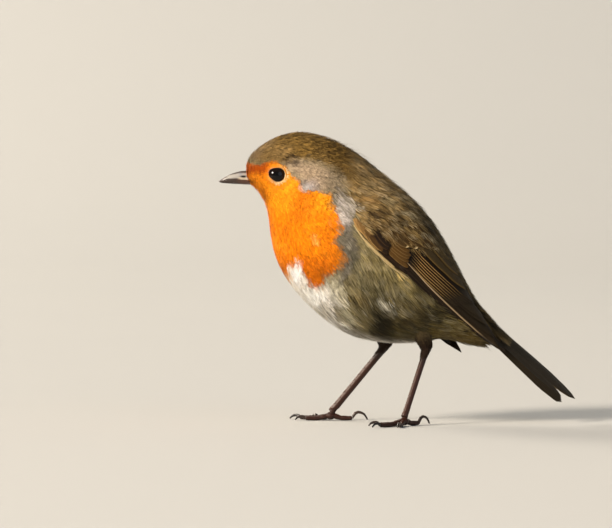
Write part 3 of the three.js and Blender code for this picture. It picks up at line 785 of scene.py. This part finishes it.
# A vane is a thin closed blade. Its lower edge is the outer web's, which shows in a folded wing
vaneSteps = np.array([0, 0.06, 0.14, 0.24, 0.36, 0.48, 0.6, 0.7, 0.78, 0.85, 0.9, 0.94, 0.97, 0.99, 1.0])
vaneAcross = np.array([0, 0.045, 0.09, 0.16, 0.3, 0.5, 0.75, 0.93, 1.0])
vaneDefaults = dict(
    outer=0.35, thick=0.07, tipFrom=0.72, rootWidth=0.5, edge=None, edgeFrom=0.0, fringe=None,
    fringeWide=0.3, dark="241809", darkTo=0.0, arch=0.12, ragged=0.03, tipColour=None, tipLength=1.2,
    edgeTo=1.0, edgeWide=0.16, edgeFade=0.1, tipRound=2.2, tipSharp=0.5)


def addVane(group, settings, placeOf):
    vane = SimpleNamespace(**{**vaneDefaults, **settings})
    length, width = vane.length, vane.width
    s, v = np.meshgrid(vaneSteps, vaneAcross, indexing="ij")
    full = vane.rootWidth + (1 - vane.rootWidth) * smooth(0, 0.35, s)
    ending = np.clip((s - vane.tipFrom) / (1 - vane.tipFrom), 0, 1)
    full = full * np.maximum(1 - ending ** vane.tipRound, 0.0) ** vane.tipSharp + 0.004
    full = full * (1 + rng.normal(0, vane.ragged, s.shape[0])[:, None] * (s > 0.2))
    shaft, fromShaft = vane.outer * width, v - vane.outer
    onShaft = abs(fromShaft) < 0.02
    over, along = shaft + fromShaft * width * full, s * length
    arch = vane.arch * (1 - (fromShaft / np.maximum(vane.outer, 1 - vane.outer)) ** 2)
    arch = arch - 0.05 * onShaft
    top, bottom = placeOf(along, over, arch), placeOf(along, over, arch - vane.thick)
    index = np.arange(s.size).reshape(s.shape)
    quads = np.stack([index[:-1, :-1], index[1:, :-1], index[1:, 1:], index[:-1, 1:]], -1).reshape(-1, 4)
    rim = np.concatenate([index[:, 0], index[-1, 1:], index[-2::-1, -1], index[0, -2:0:-1]])
    ahead = np.roll(rim, -1)
    walls = np.stack([rim, rim + s.size, ahead + s.size, ahead], -1)
    faces = np.concatenate([quads, quads[:, ::-1] + s.size, walls])
    if vane.flip:
        faces = faces[:, ::-1]
    colours = np.tile(vane.tone * rng.normal(1, 0.06), (*s.shape, 1))
    colours = blendTo(colours, vane.dark, smooth(0.55, 0.95, v) * 0.55, vane.dark, onShaft * 0.35)
    if vane.darkTo:
        colours = blendTo(colours, vane.dark, smooth(vane.darkTo + 0.04, vane.darkTo - 0.04, s))
    toTip = (1 - s) * length
    if vane.fringe:
        inEdge = np.minimum(np.minimum(v, 1 - v) * width * full, toTip)
        colours = blendTo(colours, vane.fringe,
                          smooth(vane.fringeWide * 1.3, vane.fringeWide * 0.5, inEdge) * smooth(0.2, 0.5, s))
    if vane.edge:
        colours = blendTo(colours, vane.edge, smooth(vane.edgeWide, vane.edgeWide * 0.3, v)
                          * smooth(vane.edgeFrom - 0.03, vane.edgeFrom + 0.03, s)
                          * smooth(vane.edgeTo + vane.edgeFade, vane.edgeTo - vane.edgeFade, s))
    if vane.tipColour:
        colours = blendTo(colours, vane.tipColour, smooth(vane.tipLength, vane.tipLength * 0.4, toTip))
    flat = np.stack([along, over], -1).reshape(-1, 2)
    slant = np.stack([flat[:, 0] - abs(flat[:, 1] - shaft) * 1.6, flat[:, 1]], -1)
    colours = colours.reshape(-1, 3)
    group["faces"].append(faces + sum(len(points) for points in group["points"]))
    group["points"] += [top.reshape(-1, 3), bottom.reshape(-1, 3)]
    group["colours"] += [colours, colours * 0.8]
    group["vane"] += [slant, slant]
    group["flat"].append(np.concatenate([flat, flat]) - flat.min(0))


def newGroup():
    return {key: [] for key in ("points", "faces", "colours", "vane", "flat")}


def packFlats(flats):
    order = sorted(range(len(flats)), key=lambda i: -flats[i][:, 1].max())
    area = sum(np.prod(flat.max(0) + 0.5) for flat in flats)
    span = max(math.sqrt(area), max(flat[:, 0].max() for flat in flats)) * 1.02
    while True:
        x = y = shelf = 0
        places = {}
        for i in order:
            wide, high = flats[i].max(0) + 0.4
            if x + wide > span:
                x, y, shelf = 0, y + shelf, 0
            places[i] = (x, y)
            x, shelf = x + wide, max(shelf, high)
        if y + shelf <= span:
            return np.concatenate([(flats[i] + places[i]) / span for i in range(len(flats))])
        span *= 1.03


def finishGroup(name, group, *nodes):
    parts = {key: np.concatenate(group[key]) for key in ("points", "faces", "colours", "vane")}
    item = meshFromArrays(name, places=packFlats(group["flat"]), **parts)
    finishPiece(item, "flight_feathers", flightVane, *nodes)


# Each row's vanes run evenly from its first to its last one. Both have a start and an end on the lower edge
wingRows = {
    "primary": dict(
        count=7, first=[(8.8, 50.8), (42.2, 22.5)], last=[(13.8, 53.6), (34.6, 33.2)], sag=0.6, width=3.4,
        colour="190f05", colourTo="382d1b", edge="2c2116", outer=0.25, tipFrom=0.76, tipRound=1.7,
        tipSharp=0.8, height=0.0, rise=0.3, tilt=1.1, pale={3: "b9a07a"}, edgeTo=0.8,
        ends=[(42, 22.9), (43.4, 22.1), (42.7, 22.7), (40.9, 24.1), (39.2, 27.4), (36.8, 31.2), (34.6, 34.2)]),
    "secondary": dict(
        count=7, first=[(11.4, 52.7), (27.5, 37.8)], last=[(11.4, 58.9), (33, 38.7)], sag=0.3, width=3.3,
        colour="1c1104", edge="d8ac62", outer=0.3, tipFrom=0.84, height=0.45, rise=0.3, edgeFrom=0.14,
        darkTo=0.14, edgeTo=0.72, edgeFade=0.26, dark="120c05", edgeWide=0.058, stray=0.05,
        tipColour="33291a", tipLength=7),
    "tertial": dict(
        count=3, first=[(13.5, 59.4), (31.8, 42)], last=[(16.4, 66.4), (26.4, 51.2)], sag=0.6, width=3.8,
        colour="43351d", edge="6a5228", outer=0.4, tipFrom=0.7, height=0.95, rise=0.25),
    "darkBand": dict(
        count=2, first=[(2.6, 55.6), (12.6, 48)], last=[(3.2, 56.4), (12.6, 49.4)], sag=0.5, width=1.6,
        colour="24170b", edge="2f2012", outer=0.4, tipFrom=0.8, height=0.25, rise=0.0),
    "primaryCovert": dict(
        count=5, first=[(3.6, 58), (11.4, 50.6)], last=[(6, 60.4), (12.4, 55.2)], sag=0.3, width=2.1,
        colour="573d1a", edge="755930", outer=0.4, tipFrom=0.6, height=0.5, rise=0.2, edgeWide=0.12,
        stray=0.25),
    "alula": dict(
        count=3, first=[(-0.6, 60.6), (4.9, 54.6)], last=[(0.6, 63.2), (5.6, 57)], sag=0.3, width=2.3,
        colour="22160a", edge="3f2b15", outer=0.45, tipFrom=0.6, height=0.75, rise=0.2),
    "marginal": dict(
        count=7, first=[(-5.9, 66), (-2.9, 61.6)], last=[(-1.2, 60.6), (3.4, 55.4)], sag=0.15, width=2.3,
        colour="94703f", colourTo="4c3519", edge="ab8852", outer=0.3, tipFrom=0.5, height=0.85, rise=-0.1,
        edgeWide=0.1, stray=0.25),
    "border": dict(
        count=3, first=[(-5.6, 64.4), (2.6, 54.4)], last=[(2.2, 54.9), (12.4, 47)], sag=0.35, width=0.6,
        colour="b39a6a", edge="d9c596", outer=0.4, tipFrom=0.75, height=0.9, rise=-0.15),
    "greaterCovert": dict(
        count=6, first=[(5.4, 62), (11.9, 56.6)], last=[(13.6, 66), (22.4, 55.6)], sag=0.4, width=3.0,
        colour="49361b", edge="6e5530", outer=0.42, tipFrom=0.62, height=0.8, rise=0.3, fringe="5a4526",
        tips={0: "e0c48c", 1: "e0c48c", 4: "978668"}, tipLength=0.8, stray=0.25),
}
# Vanes fold over the back's outline instead of standing out behind it
backLine = [(-13.5, 92.8), (-5.8, 88.8), (2.5, 81.7), (14.3, 72), (22.3, 61.9), (28.7, 50.2), (33.4, 41.2),
            (37.7, 35.6), (41, 32.3), (44.2, 29.2), (50, 24)]
fold = {"margin": 1.3, "sink": 0.7}


def foldOverBack(x, z):
    best = np.full(x.shape, 1e9)
    moveX, moveZ = np.zeros(x.shape), np.zeros(x.shape)
    for (ax, az), (bx, bz) in zip(backLine, backLine[1:]):
        dx, dz = bx - ax, bz - az
        span = math.hypot(dx, dz)
        t = np.clip(((x - ax) * dx + (z - az) * dz) / span ** 2, 0, 1)
        away = np.hypot(x - ax - t * dx, z - az - t * dz)
        inside = ((x - ax) * dz - (z - az) * dx) / span  # more than 0 on the belly's side
        near = away < abs(best)
        best = np.where(near, np.where(inside > 0, -away, away), best)
        moveX, moveZ = np.where(near, dz / span, moveX), np.where(near, -dx / span, moveZ)
    excess = np.maximum(best + fold["margin"], 0)
    return x - abs(moveX) * excess, z - abs(moveZ) * excess, excess


def wingPlace(surface, side, start, end, base, row):
    start, end = start + wingSlip[side], end + wingSlip[side]
    way = end - start
    length = np.hypot(*way)
    way = way / length
    up = np.array([-way[1], way[0]])
    up = up if up[1] > 0 else -up
    tilt = row.get("tilt", 0.35)

    def placeOf(along, over, high):
        t = along / length
        bow = row["sag"] * 4 * t * (1 - t)
        x, z = (start[i] + way[i] * along + up[i] * (over - bow) for i in (0, 1))
        x, z, excess = foldOverBack(x, z)
        y = (onWing(surface, x, z) - excess * fold["sink"] + base + row["rise"] * t
             + tilt * (0.5 - over / row["width"]) + high)
        return np.stack([x, side * y, z], -1)

    return placeOf, length


wing = {"base": -1.05, "step": 0.05, "rightEnds": np.array([1.1, 0.9]), "bedSink": 0.9, "bedShort": 4.5}
way = np.array([48.0, -42.8])
for label, side in sides.items():
    surface = wingSurface(label, side)
    bed = copyNodes("wingBed_" + label, "wing_" + label)
    resurface(bed, 0.3, 4)
    grow(bed, -0.3)
    pulled = toBird(meshPoints(bed))
    pulled[:, 1] -= side * wing["bedSink"]  # sinks into the down under the vanes
    share = (pulled[:, [0, 2]] - wingEdges["lower"][0] - wingSlip[side]) @ way / (way @ way)
    short = np.outer(smooth(0.6, 1, share), unit(way) * wing["bedShort"])
    pulled[:, [0, 2]] -= short  # and stops short of their tips
    pulled[:, 1] -= side * 1.0 * smooth(0.6, 0.9, share)
    setMeshPoints(bed, toRow(pulled))
    finishPiece(bed, "flight_feathers", flightVane, "wing_" + label, colours=plain("33271a", pulled))
    group = newGroup()
    for row in wingRows.values():
        for number in range(row["count"]):
            share = number / (row["count"] - 1)
            start, end = np.array(row["first"]) * (1 - share) + np.array(row["last"]) * share
            if "ends" in row:
                end = np.array(row["ends"][number]) - (side > 0) * wing["rightEnds"]
            start, end = (spot + rng.normal(0, row.get("stray", 0.1), 2) for spot in (start, end))
            base = wing["base"] + row["height"] + wing["step"] * number
            placeOf, length = wingPlace(surface, side, start, end, base, row)
            vane = {key: row[key] for key in row if key in vaneDefaults or key == "width"}
            vane["edge"] = row.get("pale", {}).get(number, row["edge"])
            vane["tipColour"] = row.get("tips", {}).get(number, row.get("tipColour"))
            vane["tone"] = mix(linear(row["colour"]), linear(row.get("colourTo", row["colour"])), share)
            vane["length"], vane["flip"] = length, side > 0
            addVane(group, vane, placeOf)
    finishGroup("wingFeathers_" + label, group)

# The closed tail: six pairs, each lying under the one inside it
tail = {"pairs": 6, "length": 44.6, "width": 6.0, "fan": 0.55, "pitch": 42.5, "roll": 24,
        "root": (32.3, 0, 36.2), "leftLag": 2.9}
tailVane = dict(
    outer=0.55, tone=linear("271d0b"), edge="6e5c3a", edgeWide=0.08, fringe="31281a", fringeWide=0.45,
    tipFrom=0.7, thick=0.09, tipRound=1.8, tipSharp=0.7, rootWidth=0.55, dark="1c150c")


def tailPlace(side, pair):
    turn, roll, pitch = np.radians([side * (1 + pair * tail["fan"]), tail["roll"], tail["pitch"]])
    shift = side * (0.9 + pair * 0.4)

    def placeOf(along, over, high):
        x, y, z = along, side * (over - tail["width"] * 0.45) + shift, high + 0.52 - pair * 0.14
        x, y = x * math.cos(turn) - y * math.sin(turn), x * math.sin(turn) + y * math.cos(turn)
        y, z = y * math.cos(roll) - z * math.sin(roll), y * math.sin(roll) + z * math.cos(roll)
        x, z = x * math.cos(pitch) + z * math.sin(pitch), z * math.cos(pitch) - x * math.sin(pitch)
        return np.stack([x, y, z], -1) + tail["root"]

    return placeOf


group = newGroup()
for pair in reversed(range(tail["pairs"])):
    for side in (1, -1):
        lag = abs(pair - 3) * 0.5 + (tail["leftLag"] if side < 0 else 0)
        size = {"length": tail["length"] - lag, "width": tail["width"] - pair * 0.15, "flip": side < 0}
        addVane(group, {**tailVane, **size}, tailPlace(side, pair))
finishGroup("tailFeathers", group, "tail")

# The bill, smoothed from its solids, with nostrils sunk in the upper half
hornGrain = {"kind": "ShaderNodeTexNoise", "values": {"Scale": 900.0, "Detail": 3.0, "Roughness": 0.6},
             "on": "Object", "gives": "Fac", "fleck": {"To Min": 0.75, "To Max": 1.25}}
horn = newSurface("billHorn", {"Roughness": 0.24, "IOR": 1.54}, hornGrain)  # dark keratin, worn to a low shine
bills = {"upper": {"rounds": 10, "colour": "4b3e39"}, "lower": {"rounds": 26, "colour": "33261f"}}
for half, settings in bills.items():
    bill = copyNodes("bill_" + half + "Horn", "bill_" + half)
    resurface(bill, 0.11, settings["rounds"])
    grow(bill, 0.035)
    spots, outward = toBird(meshPoints(bill)), meshPoints(bill, "normal")
    spots[:, 0] += 2.4 * smooth(-41.4, -39.6, spots[:, 0])  # runs back under the face's feathers
    x, z = spots[:, 0], spots[:, 2]
    nostril = np.exp(-(((x + 40.7) / 0.9) ** 2 + ((z - 79.55) / 0.32) ** 2)) * (half == "upper")
    mouthLine = 78.5 - 0.6 * smooth(-45.4, -48.8, x)
    spots = spots - outward * 0.38 * nostril[:, None]
    if half == "lower":
        spots[:, 2] += 0.2 * smooth(0.7, 0.15, mouthLine - z)  # its edge shuts against the upper half
    setMeshPoints(bill, toRow(spots))
    rise = (z - mouthLine) / (1.2 + 1.6 * smooth(-49, -41, x))
    dark = plain(settings["colour"], spots)
    if half == "upper":
        band = smooth(0.12, 0.3, rise) * smooth(0.88, 0.66, rise)
        # painted highlight: a pale band along the side of the upper half
        dark = blendTo(dark, "b3aea6", band * smooth(-48, -45, x) * 0.85,
                       "cdbfa6", smooth(0.34, 0.22, rise) * smooth(-43, -41.5, x) * 0.8,
                       # painted reflection of the sky, a blue-grey spot before the nostril
                       "6b7a92", np.exp(-(((x + 41.7) / 0.6) ** 2 + ((z - 80.3) / 0.5) ** 2)) * 0.35)
    else:
        dark = blendTo(dark, "6b3d22", smooth(-44, -40, x) * 0.4)
    # painted shade inside the sunk nostrils
    dark = blendTo(dark, "0c0908", np.clip(nostril * 1.7, 0, 1))
    finishPiece(bill, "bill", horn, "bill_" + half, colours=dark)

# Eyes: a glossy dark ball in lids cut to the teardrop opening
eyeBall = {"radius": 3.4, "pupil": 1.35}
tearFilm = {"Roughness": 0.06, "Coat Weight": 0.25, "Coat Roughness": 0.03, "IOR": 1.38,
            "Specular IOR Level": 0.22}
eyeGlass = newSurface("wetCornea", tearFilm)  # a sharp small highlight
pebbles = {"kind": "ShaderNodeTexVoronoi", "values": {"Scale": 4500.0}, "on": "Object", "gives": "Distance",
           "bump": {"Strength": 0.4, "Distance": 0.00005}}
lidSkin = newSurface("lidSkin", {"Roughness": 0.5}, pebbles)  # bare pebbled rim round the eye
skinTree = surfaceTree(skin)
# How far the lids open from the eye's middle, from the front over the top and round, each 30 degrees
lidOpening = [2.38, 2.78, 2.6, 2.36, 2.58, 2.7, 2.5, 2.32, 2.0, 1.8, 1.66, 1.8, 2.38]
lidSteps = np.array([0, 0.02, 0.07, 0.14, 0.22, 0.31, 0.42, 0.54, 0.66, 0.78, 0.9, 1.0])[:, None]
lid = {"around": 72, "reach": 4.9, "clear": 0.15, "onBall": 0.02, "fold": 0.14, "tuck": 0.2, "thick": 0.12,
       "ring": 0.14}
ringTract = dict(spacing=0.3, length=0.8, width=0.36, barbs=4, barbWidth=0.09, lift=0.03, curl=0.05, grain=0.1,
                 rootShade=0.8, toneAt=0.0, where=np.ones((len(lidSteps) - 2, lid["around"]), bool))


def ringColour(points):
    dx, dz = points[:, 0] - eye["x"], points[:, 2] - eye["z"]
    turn = np.arctan2(dz, dx)
    rim = np.hypot(dx, dz) - spread(lidOpening, (np.arctan2(dz, -dx) / (2 * math.pi)) % 1)
    pale = np.maximum(np.exp(-((turn - 0.15) / 0.9) ** 2), np.exp(-((turn + 1.2) / 1.2) ** 2) * 0.9)
    reach = 0.4 + 0.4 * np.exp(-((turn - 0.2) / 0.7) ** 2)
    return blendTo(plumageColour(points), "f4cf98", pale * smooth(reach + 0.15, reach, rim))


def onBall(reach):
    return eye["y"] + np.sqrt(np.maximum(eyeBall["radius"] ** 2 - reach ** 2, 0))


for label, side in sides.items():
    low, high = (Vector(corner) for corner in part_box("eye_" + label))
    bpy.ops.object.select_all(action="DESELECT")
    bpy.ops.mesh.primitive_uv_sphere_add(segments=64, ring_count=40, radius=eyeBall["radius"] * mm)
    ball = bpy.context.object
    ball.name = "eyeBall_" + label
    bpy.ops.object.mode_set(mode="EDIT")
    bpy.ops.mesh.select_all(action="SELECT")
    bpy.ops.transform.rotate(value=math.pi / 2, orient_axis="X", center_override=(0, 0, 0))
    bpy.ops.transform.translate(value=(low + high) / 2)
    bpy.ops.object.mode_set(mode="OBJECT")
    spots = toBird(meshPoints(ball)) - [eye["x"], side * eye["y"], eye["z"]]
    fromAxis = np.hypot(spots[:, 0], spots[:, 2])
    iris = blendTo(plain("0e0704", spots), "050302", (fromAxis < eyeBall["pupil"]) * 1.0,
                   "1a0d05", smooth(2.4, 1.5, fromAxis) * (fromAxis > eyeBall["pupil"]) * 0.7)
    finishPiece(ball, "eye", eyeGlass, "eye_" + label, colours=iris)

    rings, around = len(lidSteps), lid["around"]
    angle = np.arange(around) / around * 2 * math.pi
    opening = spread(lidOpening, angle / (2 * math.pi))
    reach = opening + (lid["reach"] - opening) * lidSteps
    lidX, lidZ = eye["x"] - np.cos(angle) * reach, eye["z"] + np.sin(angle) * reach
    outer = []
    for x, z in zip(lidX[-1], lidZ[-1]):
        hit = skinTree.ray_cast(Vector(toRow((x, side * 40, z))), Vector((0, -side, 0)))[0]
        outer.append(abs(toBird(hit)[1]))
    ease = lidSteps ** 0.8
    flank = onBall(opening) * (1 - ease) + (np.array(outer) + lid["clear"]) * ease
    roll = lid["fold"] * np.sin(np.clip(lidSteps / 0.5, 0, 1) * math.pi) - lid["tuck"] * (lidSteps < 0.01)
    lidPoints = np.stack([lidX, side * (np.maximum(flank, onBall(reach) + lid["onBall"]) + roll), lidZ], -1)
    index = np.arange(rings * around).reshape(rings, around)
    nextOne = np.roll(index, -1, 1)
    lidFaces = np.stack([index[:-1], index[1:], nextOne[1:], nextOne[:-1]], -1).reshape(-1, 4)[:, ::-side]
    rimShare = smooth(0.03, 0.1, np.repeat(lidSteps, around))
    flatLid = lidPoints.reshape(-1, 3)
    lidColours = mix(plain("2a180c", flatLid), ringColour(flatLid) * 0.75, rimShare)
    lidPlaces = np.meshgrid(np.arange(rings) / rings, np.arange(around) / around, indexing="ij")
    lidPlaces = np.stack(lidPlaces, -1).reshape(-1, 2)
    lids = meshFromArrays("lids_" + label, flatLid, lidFaces, lidColours, lidPlaces)
    applyModifier(lids, "SOLIDIFY", thickness=lid["thick"] * mm, offset=-1.0)
    finishPiece(lids, "plumage", lidSkin)
    lidLie = finishLie(lidPoints[2:])
    lidLie["normal"] *= np.sign((lidLie["normal"][3, :, 1] * side).mean())
    growTract("eyeRing_" + label, lidLie, ringTract, ringColour, lambda p: rng.normal(0, 8, len(p)),
              steady(lid["ring"]))

# Legs, feet and claws, smoothed from their solids, with scutes pressed in
scaleGrain = {"kind": "ShaderNodeTexNoise", "values": {"Scale": 2500.0, "Detail": 3.0}, "on": "Object",
              "gives": "Fac", "fleck": {"To Min": 0.7, "To Max": 1.3},
              "bump": {"Strength": 0.3, "Distance": 0.00005}}
legScale = newSurface("legScale", {"Roughness": 0.42, "Specular IOR Level": 0.35},
                      scaleGrain)  # horny scutes with a dull shine
clawHorn = newSurface("clawHorn", {"Roughness": 0.3})  # dark smooth horn, paler at its root
legs = {
    "left": {"hip": (14.6, -11.2, 35.4), "heel": (18.2, -9.2, 24.6), "foot": (10.7, -18, 2.5), "swell": 0.08},
    "right": {"hip": (3.6, 11.2, 35.6), "heel": (5.2, 10.2, 24.4), "foot": (-12.6, 12.8, 2.5), "swell": 0.26},
}
scutes = {"onShank": 2.5, "onToes": 1.15, "deep": 0.07}
for label, leg in legs.items():
    heel, foot = np.array(leg["heel"]), np.array(leg["foot"])
    limb = copyNodes("leg_" + label, "shank_" + label, "foot_" + label)
    resurface(limb, 0.17, 5)
    grow(limb, 0.03)
    spots, outward = toBird(meshPoints(limb)), meshPoints(limb, "normal")
    down = foot - heel
    share = ((spots - heel) @ down) / (down @ down)
    fromFoot = np.hypot(spots[:, 0] - foot[0], spots[:, 1] - foot[1])
    onShank = smooth(3.4, 4.2, spots[:, 2])
    upward, front = smooth(0.0, 0.5, outward[:, 2]), smooth(-0.1, 0.5, -(outward[:, 0]))
    shankWave = np.cos(share * np.linalg.norm(down) / scutes["onShank"] * 2 * math.pi)
    toeWave = np.cos(fromFoot / scutes["onToes"] * 2 * math.pi)
    groove = (np.clip(shankWave * 6 - 5, 0, 1) * front * onShank
              + np.clip(toeWave * 3 - 2, 0, 1) * upward * (1 - onShank))
    setMeshPoints(limb, toRow(spots + outward * (onShank * leg["swell"] - groove * scutes["deep"])[:, None]))
    # painted light: a highlight down the shank's front, and shade under the toes
    skinAndPaintedLight = blendTo(plain("35190d", spots), "482a18", front * onShank * 0.7,
                       "241209", smooth(0.1, -0.5, outward[:, 2]) * (1 - onShank) * 0.7,
                       "1e0f09", groove * 0.6,
                       "1c120b", smooth(17, 23, spots[:, 2]) * 0.85)  # painted shade under the belly, darkest at the heel
    finishPiece(limb, "leg", legScale, "shank_" + label, "foot_" + label, colours=skinAndPaintedLight)
    clawNodes = ["claw_" + toe + "_" + label for toe in ("hind", "inner", "middle", "outer")]
    claws = copyNodes("claws_" + label, *clawNodes)
    resurface(claws, 0.1, 6)
    grow(claws, 0.03)
    spots = toBird(meshPoints(claws))
    fromFoot = np.hypot(spots[:, 0] - foot[0], spots[:, 1] - foot[1])
    clawTone = blendTo(plain("3a2a20", spots), "17110e", smooth(8, 13, fromFoot))
    finishPiece(claws, "claw", clawHorn, *clawNodes, colours=clawTone)

# Short dark feathers down each thigh to the heel
thigh = {"rows": 60, "around": 48, "from": 0.15, "to": 1.5, "stations": [0.15, 0.6, 1.0, 1.3, 1.5],
         "radii": [4.25, 2.7, 1.6, 0.95, 0.9], "depth": 0.45}
thighTract = dict(spacing=0.56, length=2.1, width=1.0, barbs=6, barbWidth=0.16, lift=0.06)
for label, leg in legs.items():
    hip, heel = np.array(leg["hip"]), np.array(leg["heel"])
    axis = unit(heel - hip)
    across = unit(np.cross(axis, [0, 1, 0]))
    beside = np.cross(axis, across)
    share = np.linspace(thigh["from"], thigh["to"], thigh["rows"])[:, None]
    turn = np.arange(thigh["around"])[None, :] / thigh["around"] * 2 * math.pi
    radius = np.interp(share, thigh["stations"], thigh["radii"]) + leg["swell"]
    onward = unit(np.array(leg["foot"]) - heel) * np.linalg.norm(heel - hip)  # and on down the shank
    t = share[..., None]
    middle = np.where(t < 1, hip + (heel - hip) * t, heel + onward * (t - 1))
    circle = across * np.cos(turn)[..., None] + beside * np.sin(turn)[..., None]
    where = np.broadcast_to(smooth(1.22, 1.12, share), (thigh["rows"], thigh["around"]))
    thighLie = finishLie(middle + radius[..., None] * circle)
    growTract("thighFeathers_" + label, thighLie, {**thighTract, "where": where},
              lambda p: blendTo(plain("6a5a3c", p), "2c1e14", smooth(31, 25, p[:, 2])),
              steady(0.0), steady(thigh["depth"]))


def headness(grid):
    return grid[..., 0] - 0.35 * (grid[..., 2] - 80)


def coverOf(grid):
    return fromSide(grid, coverLoop) & ((headness(grid) > -8) | (grid[..., 2] < 76))


def wingOver(grid):
    inset = np.where(np.arange(len(wingLoop)) < len(wingEdges["lower"]), 0.7, 2.0)[:, None]
    return fromSide(grid, [tuple(p) for p in wingLoop - unit(wingLoop - wingLoop.mean(0)) * inset])


# Tracts, from the bill back. Lengths are of the part that shows, in millimetres
place = bodyLie["place"]
bodyX, bodyY, height = np.moveaxis(place, -1, 0)
ahead = headness(place)
eyeClear = np.hypot(bodyX - eye["x"], height - eye["z"]) > 4.1
crownLine = 86 - 0.1 * (bodyX - eye["x"])
covered = (coverOf(place) & (rowNumber < lieGrid["coverEnd"])) | wingOver(place)
bare = (eyeClear & ~covered & (rowNumber < lieGrid["bareEnd"])) * 1.0
bare *= 1 - smooth(32.5, 35.5, bodyX) * smooth(31, 29, height)  # the vent's last tufts stop short of the tail
breastLine = bodyX - 0.55 * (height - 50)
# Each tract fades into the next, so no edge shows between long tufts and short ones
tracts = {
    "faceFeathers": dict(
        spacing=0.5, length=1.6, width=0.8, barbs=6, barbWidth=0.13, layers=(0.7, 1.0), rootShade=0.75,
        where=smooth(-27.5, -30.5, ahead) * (height < crownLine)),
    "crownFeathers": dict(
        spacing=0.62, length=2.6, width=1.1, barbs=7, barbWidth=0.16, grain=0.24, mottle=0.16, clump=0.6,
        locks=2, lift=0.14, lockTone=0.2, tipColour="b09050", tipAmount=0.25, tipShare=0.5,
        where=smooth(-4, -11, ahead) * (height >= crownLine)),
    "cheekFeathers": dict(
        spacing=0.6, length=2.5, width=1.1, barbs=8, barbWidth=0.15, grain=0.1, stray=4, curl=0.04,
        rootShade=0.85, layers=(0.8, 1.0), lockTone=0.1,
        where=smooth(-31, -28.5, ahead) * smooth(-7, -14, ahead) * (height < crownLine)
        * smooth(64, 70, height)),
    "breastFeathers": dict(
        spacing=0.74, length=4.0, width=1.7, barbs=11, barbWidth=0.14, rootShade=0.85, grain=0.12,
        clump=0.25, layers=(0.85, 1.0), mottle=0.06, lift=0.05, curl=0.04, stray=6, lockTone=0.13,
        toneAt=0.78, toneStray=0.45,
        where=smooth(73, 67, height) * smooth(-6, -10, breastLine)),
    "bodyFeathers": dict(
        spacing=1.0, length=7.0, width=2.8, barbs=15, barbWidth=0.16, clump=0.6, locks=4, grain=0.12,
        mottle=0.14, lockTone=0.26, lift=0.14, curl=0.05, rootShade=0.5, stray=4, layers=(0.75, 1.0),
        wave=0.02, toneAt=0.78, toneStray=0.5, tipColour="c9bd98", tipAmount=0.25, tipShare=0.5,
        where=smooth(-17, -9, ahead) * (1 - smooth(73, 67, height) * smooth(-9, -12, breastLine))),
}
for name, tract in tracts.items():
    tract["where"] = tract["where"] * bare
    if name in ("breastFeathers", "bodyFeathers"):
        growHalves(name, bodyLie, tract)
    else:
        growTract(name, bodyLie, tract)


def coverColour(points):
    moved = points.copy()  # the right wing's marks lie ahead with it
    share = smooth(3, 9, points[:, 1]) * smooth(86, 78, points[:, 2])
    moved[:, [0, 2]] -= np.array(wingSlip[1]) * share[:, None]
    return plumageColour(moved)


place = upperLie["place"]
cover = coverOf(place)
growHalves("mantleFeathers", upperLie, dict(
    spacing=0.8, length=4.8, width=1.9, barbs=10, barbWidth=0.18, tipColour="c8b186", tipAmount=0.45,
    tipShare=0.2, deep=0.95, clump=0.7, locks=3, grain=0.26, mottle=0.16, stray=7, wave=0.04, rootShade=0.4,
    lockTone=0.3, toneAt=0.75, where=cover & (rowNumber < lieGrid["coverEnd"])), coverColour)

# Loose wavy plumes with pale tips lie over the scapulars, and a few hairs stand off the nape
wingX = place[..., 0] - np.where(place[..., 1] > 0, wingSlip[1][0], 0)
plumeShare = smooth(-5, 0, wingX) * smooth(22, 17, wingX) * cover
growTract("scapularPlumes", upperLie, dict(
    spacing=2.1, length=6.4, width=2.2, barbs=11, barbWidth=0.19, tipColour="dcc79c", tipAmount=0.55,
    tipShare=0.4, deep=1.1, clump=0.8, locks=4, grain=0.35, mottle=0.2, stray=8, wave=0.09, rootShade=0.35,
    lockTone=0.35, layers=(0.9, 1.15), toneAt=0.75,
    where=plumeShare * (place[..., 2] > 65 - 0.3 * (wingX + 1))), coverColour)
# Long loose strands lie over the flanks and the belly
flankShare = np.maximum(smooth(-12, -6, bodyX), smooth(50, 44, height) * smooth(-26, -20, bodyX))
growHalves("flankPlumes", bodyLie, dict(
    spacing=2.2, length=9.5, width=2.4, barbs=12, barbWidth=0.16, clump=0.8, locks=4, grain=0.2, mottle=0.2,
    lockTone=0.5, lift=0.1, curl=0.06, rootShade=0.6, layers=(1.0, 1.15), wave=0.03, stray=5, toneAt=0.7,
    toneStray=0.6, tipColour="d6cfb2", tipAmount=0.3, tipShare=0.3,
    where=flankShare * smooth(26, 19, bodyX) * bare))
napeShare = np.exp(-(((bodyX + 7) / 5) ** 2)) * smooth(4, 2, abs(bodyY)) * (height > 80)
growTract("napeHairs", bodyLie, dict(
    spacing=0.9, length=7.5, width=0.8, barbs=2, barbWidth=0.1, deep=2.2, stray=14, curl=0.3,
    layers=(0.8, 1.2),
    where=napeShare * 0.5))
